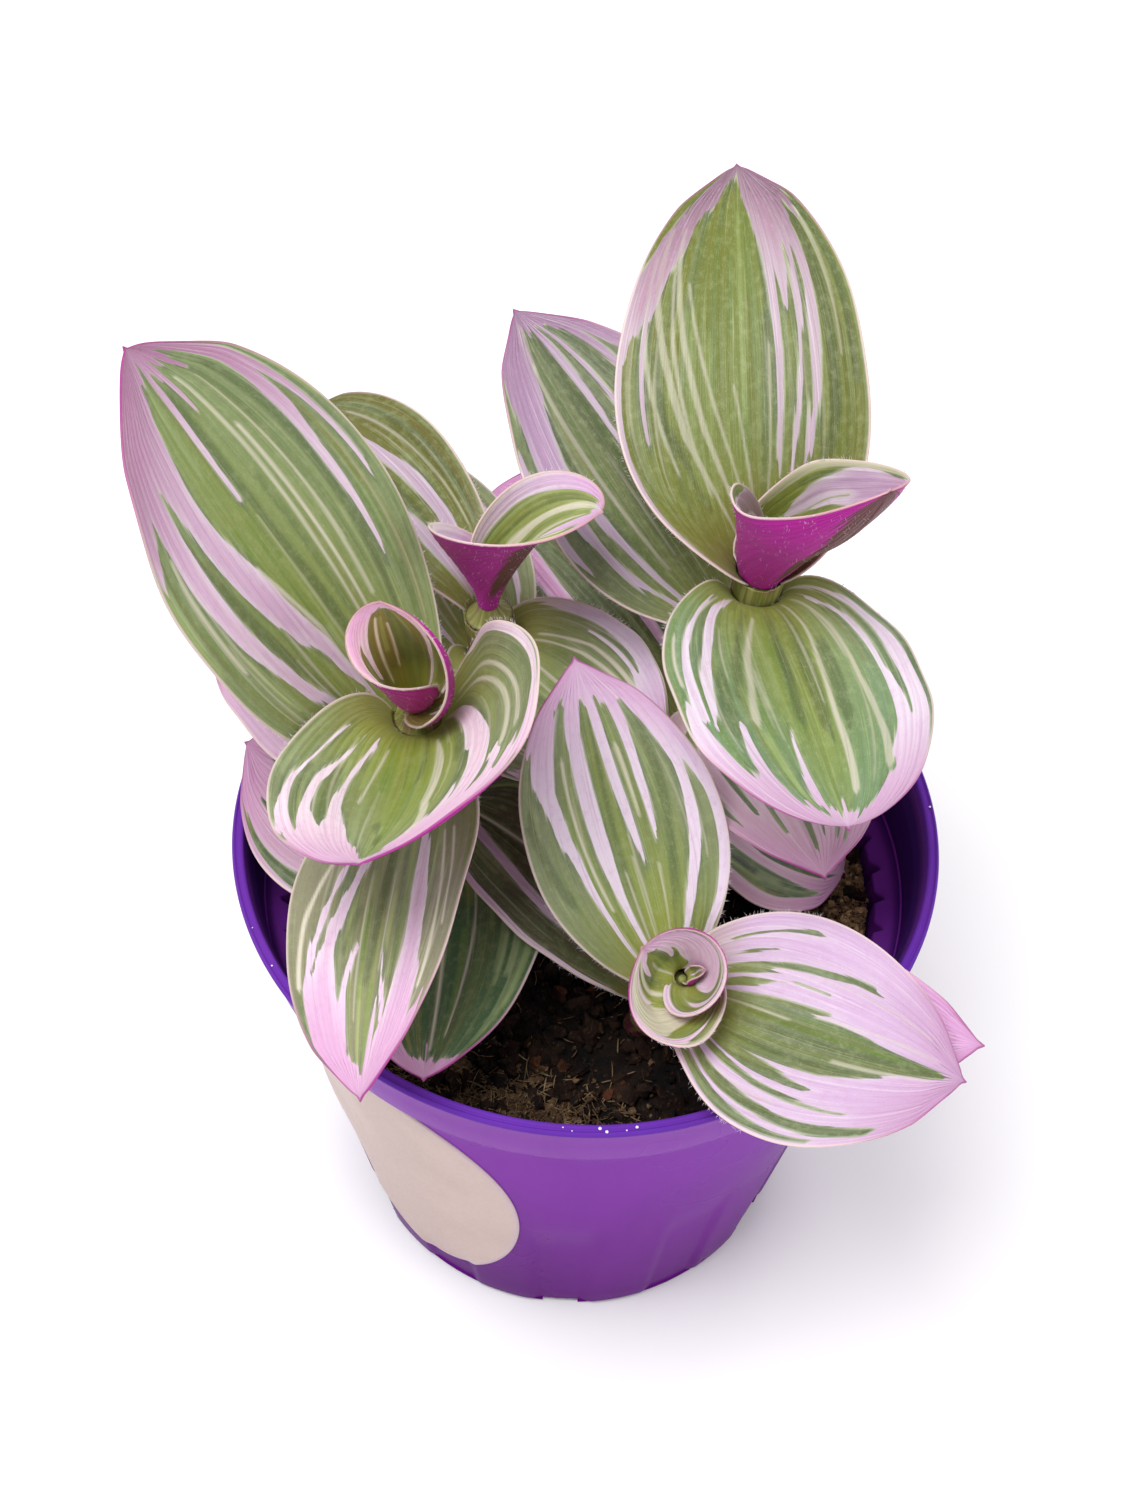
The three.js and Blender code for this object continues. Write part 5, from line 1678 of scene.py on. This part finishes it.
def make_soil(material):
    rng = np.random.default_rng(SEEDS["soil"])
    edge = wall_radius(RIB_BOTTOM) - WALL - SOIL_GAP - 0.9
    around, rings = 320, 110
    angle = full_turn(around)
    reach = edge * np.linspace(1, 0.002, rings)
    x = reach[:, None] * np.cos(angle)[None, :]
    y = reach[:, None] * np.sin(angle)[None, :]
    z = soil_height(x, y) + soil_relief(rng, x, y) - 0.45
    top = np.stack([x, y, z], 2)

    bottom = FLOOR_TOP + SOIL_GAP
    side = [(1, bottom), (FOOT_RADIUS - WALL - 1.4, bottom)]
    side += [(wall_radius(h) - WALL - SOIL_GAP, h) for h in np.linspace(8, RIB_BOTTOM - 2, 12)]
    side += [(edge, RIB_BOTTOM - 0.6)]
    grid = np.concatenate([*(lathe(radius, h, angle)[None] for radius, h in side), top])
    rows = grid.shape[0]
    return make_piece("soil_bed", grid.reshape(-1, 3), tube_faces(rows, around), [material], "soil",
                      replaces=["soil"])


def lump_shapes(rng, count):
    """A few irregular closed lumps, about 1 across, as points and faces."""
    shapes = []
    for _ in range(count):
        points, faces = icosphere(0.5)
        direction = unit(points)
        bump = np.zeros(len(points))
        for _ in range(6):
            axis = rng.normal(0, 1, 3)
            bump += np.sin(direction @ axis * rng.uniform(1.5, 4) + rng.uniform(0, 6.3))
        points = points * (1 + 0.16 * bump[:, None]) * rng.uniform(0.55, 1.15, 3)
        shapes.append((points, faces))
    return shapes


def random_turn(rng):
    """A matrix that turns to any direction, from a random quaternion."""
    w, x, y, z = unit(rng.normal(0, 1, 4))
    return np.array([
        [1 - 2 * (y * y + z * z), 2 * (x * y - z * w), 2 * (x * z + y * w)],
        [2 * (x * y + z * w), 1 - 2 * (x * x + z * z), 2 * (y * z - x * w)],
        [2 * (x * z - y * w), 2 * (y * z + x * w), 1 - 2 * (x * x + y * y)]])


def scatter_lumps(name, material, seed, count, small, large, sink, arcs):
    """Loose lumps lying on the soil, joined in one piece; arcs crowd them by parts of the rim."""
    rng = np.random.default_rng(seed)
    shapes = lump_shapes(rng, 10)
    edge = wall_radius(SOIL_LEVEL) - WALL - 1.9
    lumps = []
    for _ in range(count):
        size = small + (large - small) * rng.random() ** 3
        reach, a = math.sqrt(rng.random()), rng.uniform(0, 2 * np.pi)
        if arcs:
            middle, spread = arcs[rng.integers(0, len(arcs))]
            a = math.radians(rng.normal(middle, spread))
            reach = 1 - abs(rng.normal(0, 0.11))
        r = min(edge * reach, edge - size / 2)
        x, y = r * math.cos(a), r * math.sin(a)
        shape_points, shape_faces = shapes[rng.integers(0, len(shapes))]
        z = float(soil_height(np.array(x), np.array(y))) + size * (0.5 - sink)
        lumps.append((shape_points @ random_turn(rng) * size + (x, y, z), shape_faces))
    return make_piece(name, *joined(lumps), [material], "soil", sharp_angle=50)


def make_fibres(material):
    """Short, nearly straight peat fibres lying on and sticking out of the soil."""
    rng = np.random.default_rng(SEEDS["fibres"])
    edge = wall_radius(SOIL_LEVEL) - WALL - 2.2
    fibres = []
    sides, steps = 4, 5
    for _ in range(FIBRES):
        length = rng.uniform(0.7, 1.8) + 2.0 * rng.random() ** 6
        radius = rng.uniform(0.05, 0.12)
        reach, a = math.sqrt(rng.random()), rng.uniform(0, 2 * np.pi)
        if rng.random() < 0.8:
            middle, spread = PALE_ARCS[rng.integers(0, len(PALE_ARCS))]
            a, reach = math.radians(rng.normal(middle, spread)), 1 - abs(rng.normal(0, 0.10))
        x, y = edge * reach * math.cos(a), edge * reach * math.sin(a)
        heading, bend = rng.uniform(0, 2 * np.pi), rng.normal(0, 0.12)
        lift, drop = abs(rng.normal(0.0, 0.30)), rng.uniform(0.0, 0.12)
        line = []
        step = length / (steps - 1)
        for _ in range(steps):
            line.append((x, y))
            heading += bend
            x, y = x + step * math.cos(heading), y + step * math.sin(heading)
        line = np.array(line)
        line = line / np.maximum(np.hypot(line[:, 0], line[:, 1]) / edge, 1)[:, None]
        t = np.linspace(0, 1, steps)
        z = soil_height(line[:, 0], line[:, 1]) + 0.55 + lift * length * t - drop
        line = np.column_stack([line, z])
        along = unit(np.gradient(line, axis=0))
        side = unit(np.cross(along, (0.0, 0.0, 1.0)))
        other = np.cross(along, side)
        thin = radius * np.sqrt(np.clip(np.sin(mix(0.12, 0.96, t) * np.pi), 0.05, 1))[:, None]
        ring = [line + thin * (math.cos(c) * side + math.sin(c) * other)
                for c in np.arange(sides) * 2 * np.pi / sides]
        fibres.append((np.stack(ring, 1).reshape(-1, 3), tube_faces(steps, sides)))
    return make_piece("soil_fibres", *joined(fibres), [material], "soil")


def make_soil_parts():
    materials = {name: soil_material(name, *colors) for name, colors in SOIL_COLORS.items()}
    make_soil(materials["soil"])
    for name, (material, *settings) in SOIL_LUMPS.items():
        scatter_lumps(name, materials[material], *settings)
    make_fibres(materials["fibre"])
    scatter_lumps("soil_perlite", perlite_material(), *PERLITE_LUMPS)


# --- Camera, light and floor -------------------------------------------------------------------

PHOTO_HEIGHT = 1500
FOCAL_PIXELS = 2400
CAMERA_ELEVATION = 53.2
CAMERA_ROLL = 3.2
CAMERA_DISTANCE = 306
AIM_HEIGHT = 74
AIM_PIXELS = (28, 72)
SENSOR = 36
LIGHT_AIM_HEIGHT = 0.08
WORLD_STRENGTH = 0.62
FLOOR_HALF_WIDTH, FLOOR_DROP = 1500, 0.05


def turned(vector, axis, angle):
    """A vector turned about an axis of length one."""
    return (vector * math.cos(angle) + np.cross(axis, vector) * math.sin(angle)
            + axis * (axis @ vector) * (1 - math.cos(angle)))


def make_camera():
    """The photograph's view, from in front and above."""
    e = math.radians(CAMERA_ELEVATION)
    back = np.array([0, -math.cos(e), math.sin(e)])
    place = np.array([0, 0, AIM_HEIGHT]) + back * CAMERA_DISTANCE
    right = np.array([1.0, 0, 0])
    up = np.cross(back, right)
    pan, nod = (math.atan2(p, FOCAL_PIXELS) for p in AIM_PIXELS)
    right, back = turned(right, up, pan), turned(back, up, pan)
    up, back = turned(up, right, nod), turned(back, right, nod)
    roll = math.radians(CAMERA_ROLL)
    right, up = (math.cos(roll) * right + math.sin(roll) * up,
                 math.cos(roll) * up - math.sin(roll) * right)
    data = bpy.data.cameras.new("camera")
    data.sensor_width = SENSOR
    data.lens = FOCAL_PIXELS * SENSOR / PHOTO_HEIGHT
    data.clip_start = 0.01
    camera = new_object("camera", data)
    matrix = np.eye(4)
    matrix[:3, 0], matrix[:3, 1], matrix[:3, 2], matrix[:3, 3] = right, up, back, place * MM
    camera.matrix_world = Matrix(matrix.tolist())
    bpy.context.scene.camera = camera


def make_light(name, place, size, power, color=(1, 1, 1)):
    """A round lamp at a place in metres, facing the middle of the plant."""
    data = bpy.data.lights.new(name, "AREA")
    data.shape, data.size, data.energy, data.color = "DISK", size, power, color
    light = new_object(name, data)
    direction = unit(np.array(place) - (0, 0, LIGHT_AIM_HEIGHT))
    side = unit(np.cross((0, 0, 1), direction))
    aim = np.column_stack([side, np.cross(direction, side), direction])
    light.matrix_world = Matrix.Translation(place) @ Matrix(aim.tolist()).to_4x4()


def make_world():
    world = bpy.data.worlds.new("studio")
    world.use_nodes = True
    world.node_tree.nodes["Background"].inputs["Color"].default_value = (1, 1, 1, 1)
    world.node_tree.nodes["Background"].inputs["Strength"].default_value = WORLD_STRENGTH
    bpy.context.scene.world = world
    bpy.context.scene.view_settings.view_transform = "Standard"


def make_floor():
    """A wide plain sheet just under the pot."""
    corners = np.array([(-1, -1), (1, -1), (1, 1), (-1, 1)]) * FLOOR_HALF_WIDTH
    points = np.column_stack([corners, np.full(4, -FLOOR_DROP)])
    mesh = new_mesh("floor", points, [(0, 1, 2, 3)])
    mesh.materials.append(floor_material())
    floor = new_object("floor", mesh)


make_camera()
make_world()
make_light("key", (-0.22, -0.18, 0.85), 0.45, 6.0)
make_light("fill", (0.55, -0.35, 0.45), 0.6, 1.2, (1.0, 0.98, 0.97))
make_light("back", (0.10, 0.62, 0.55), 0.5, 1.5)
make_floor()
make_pot()
make_specks()
make_label()
make_soil_parts()
make_shoots()
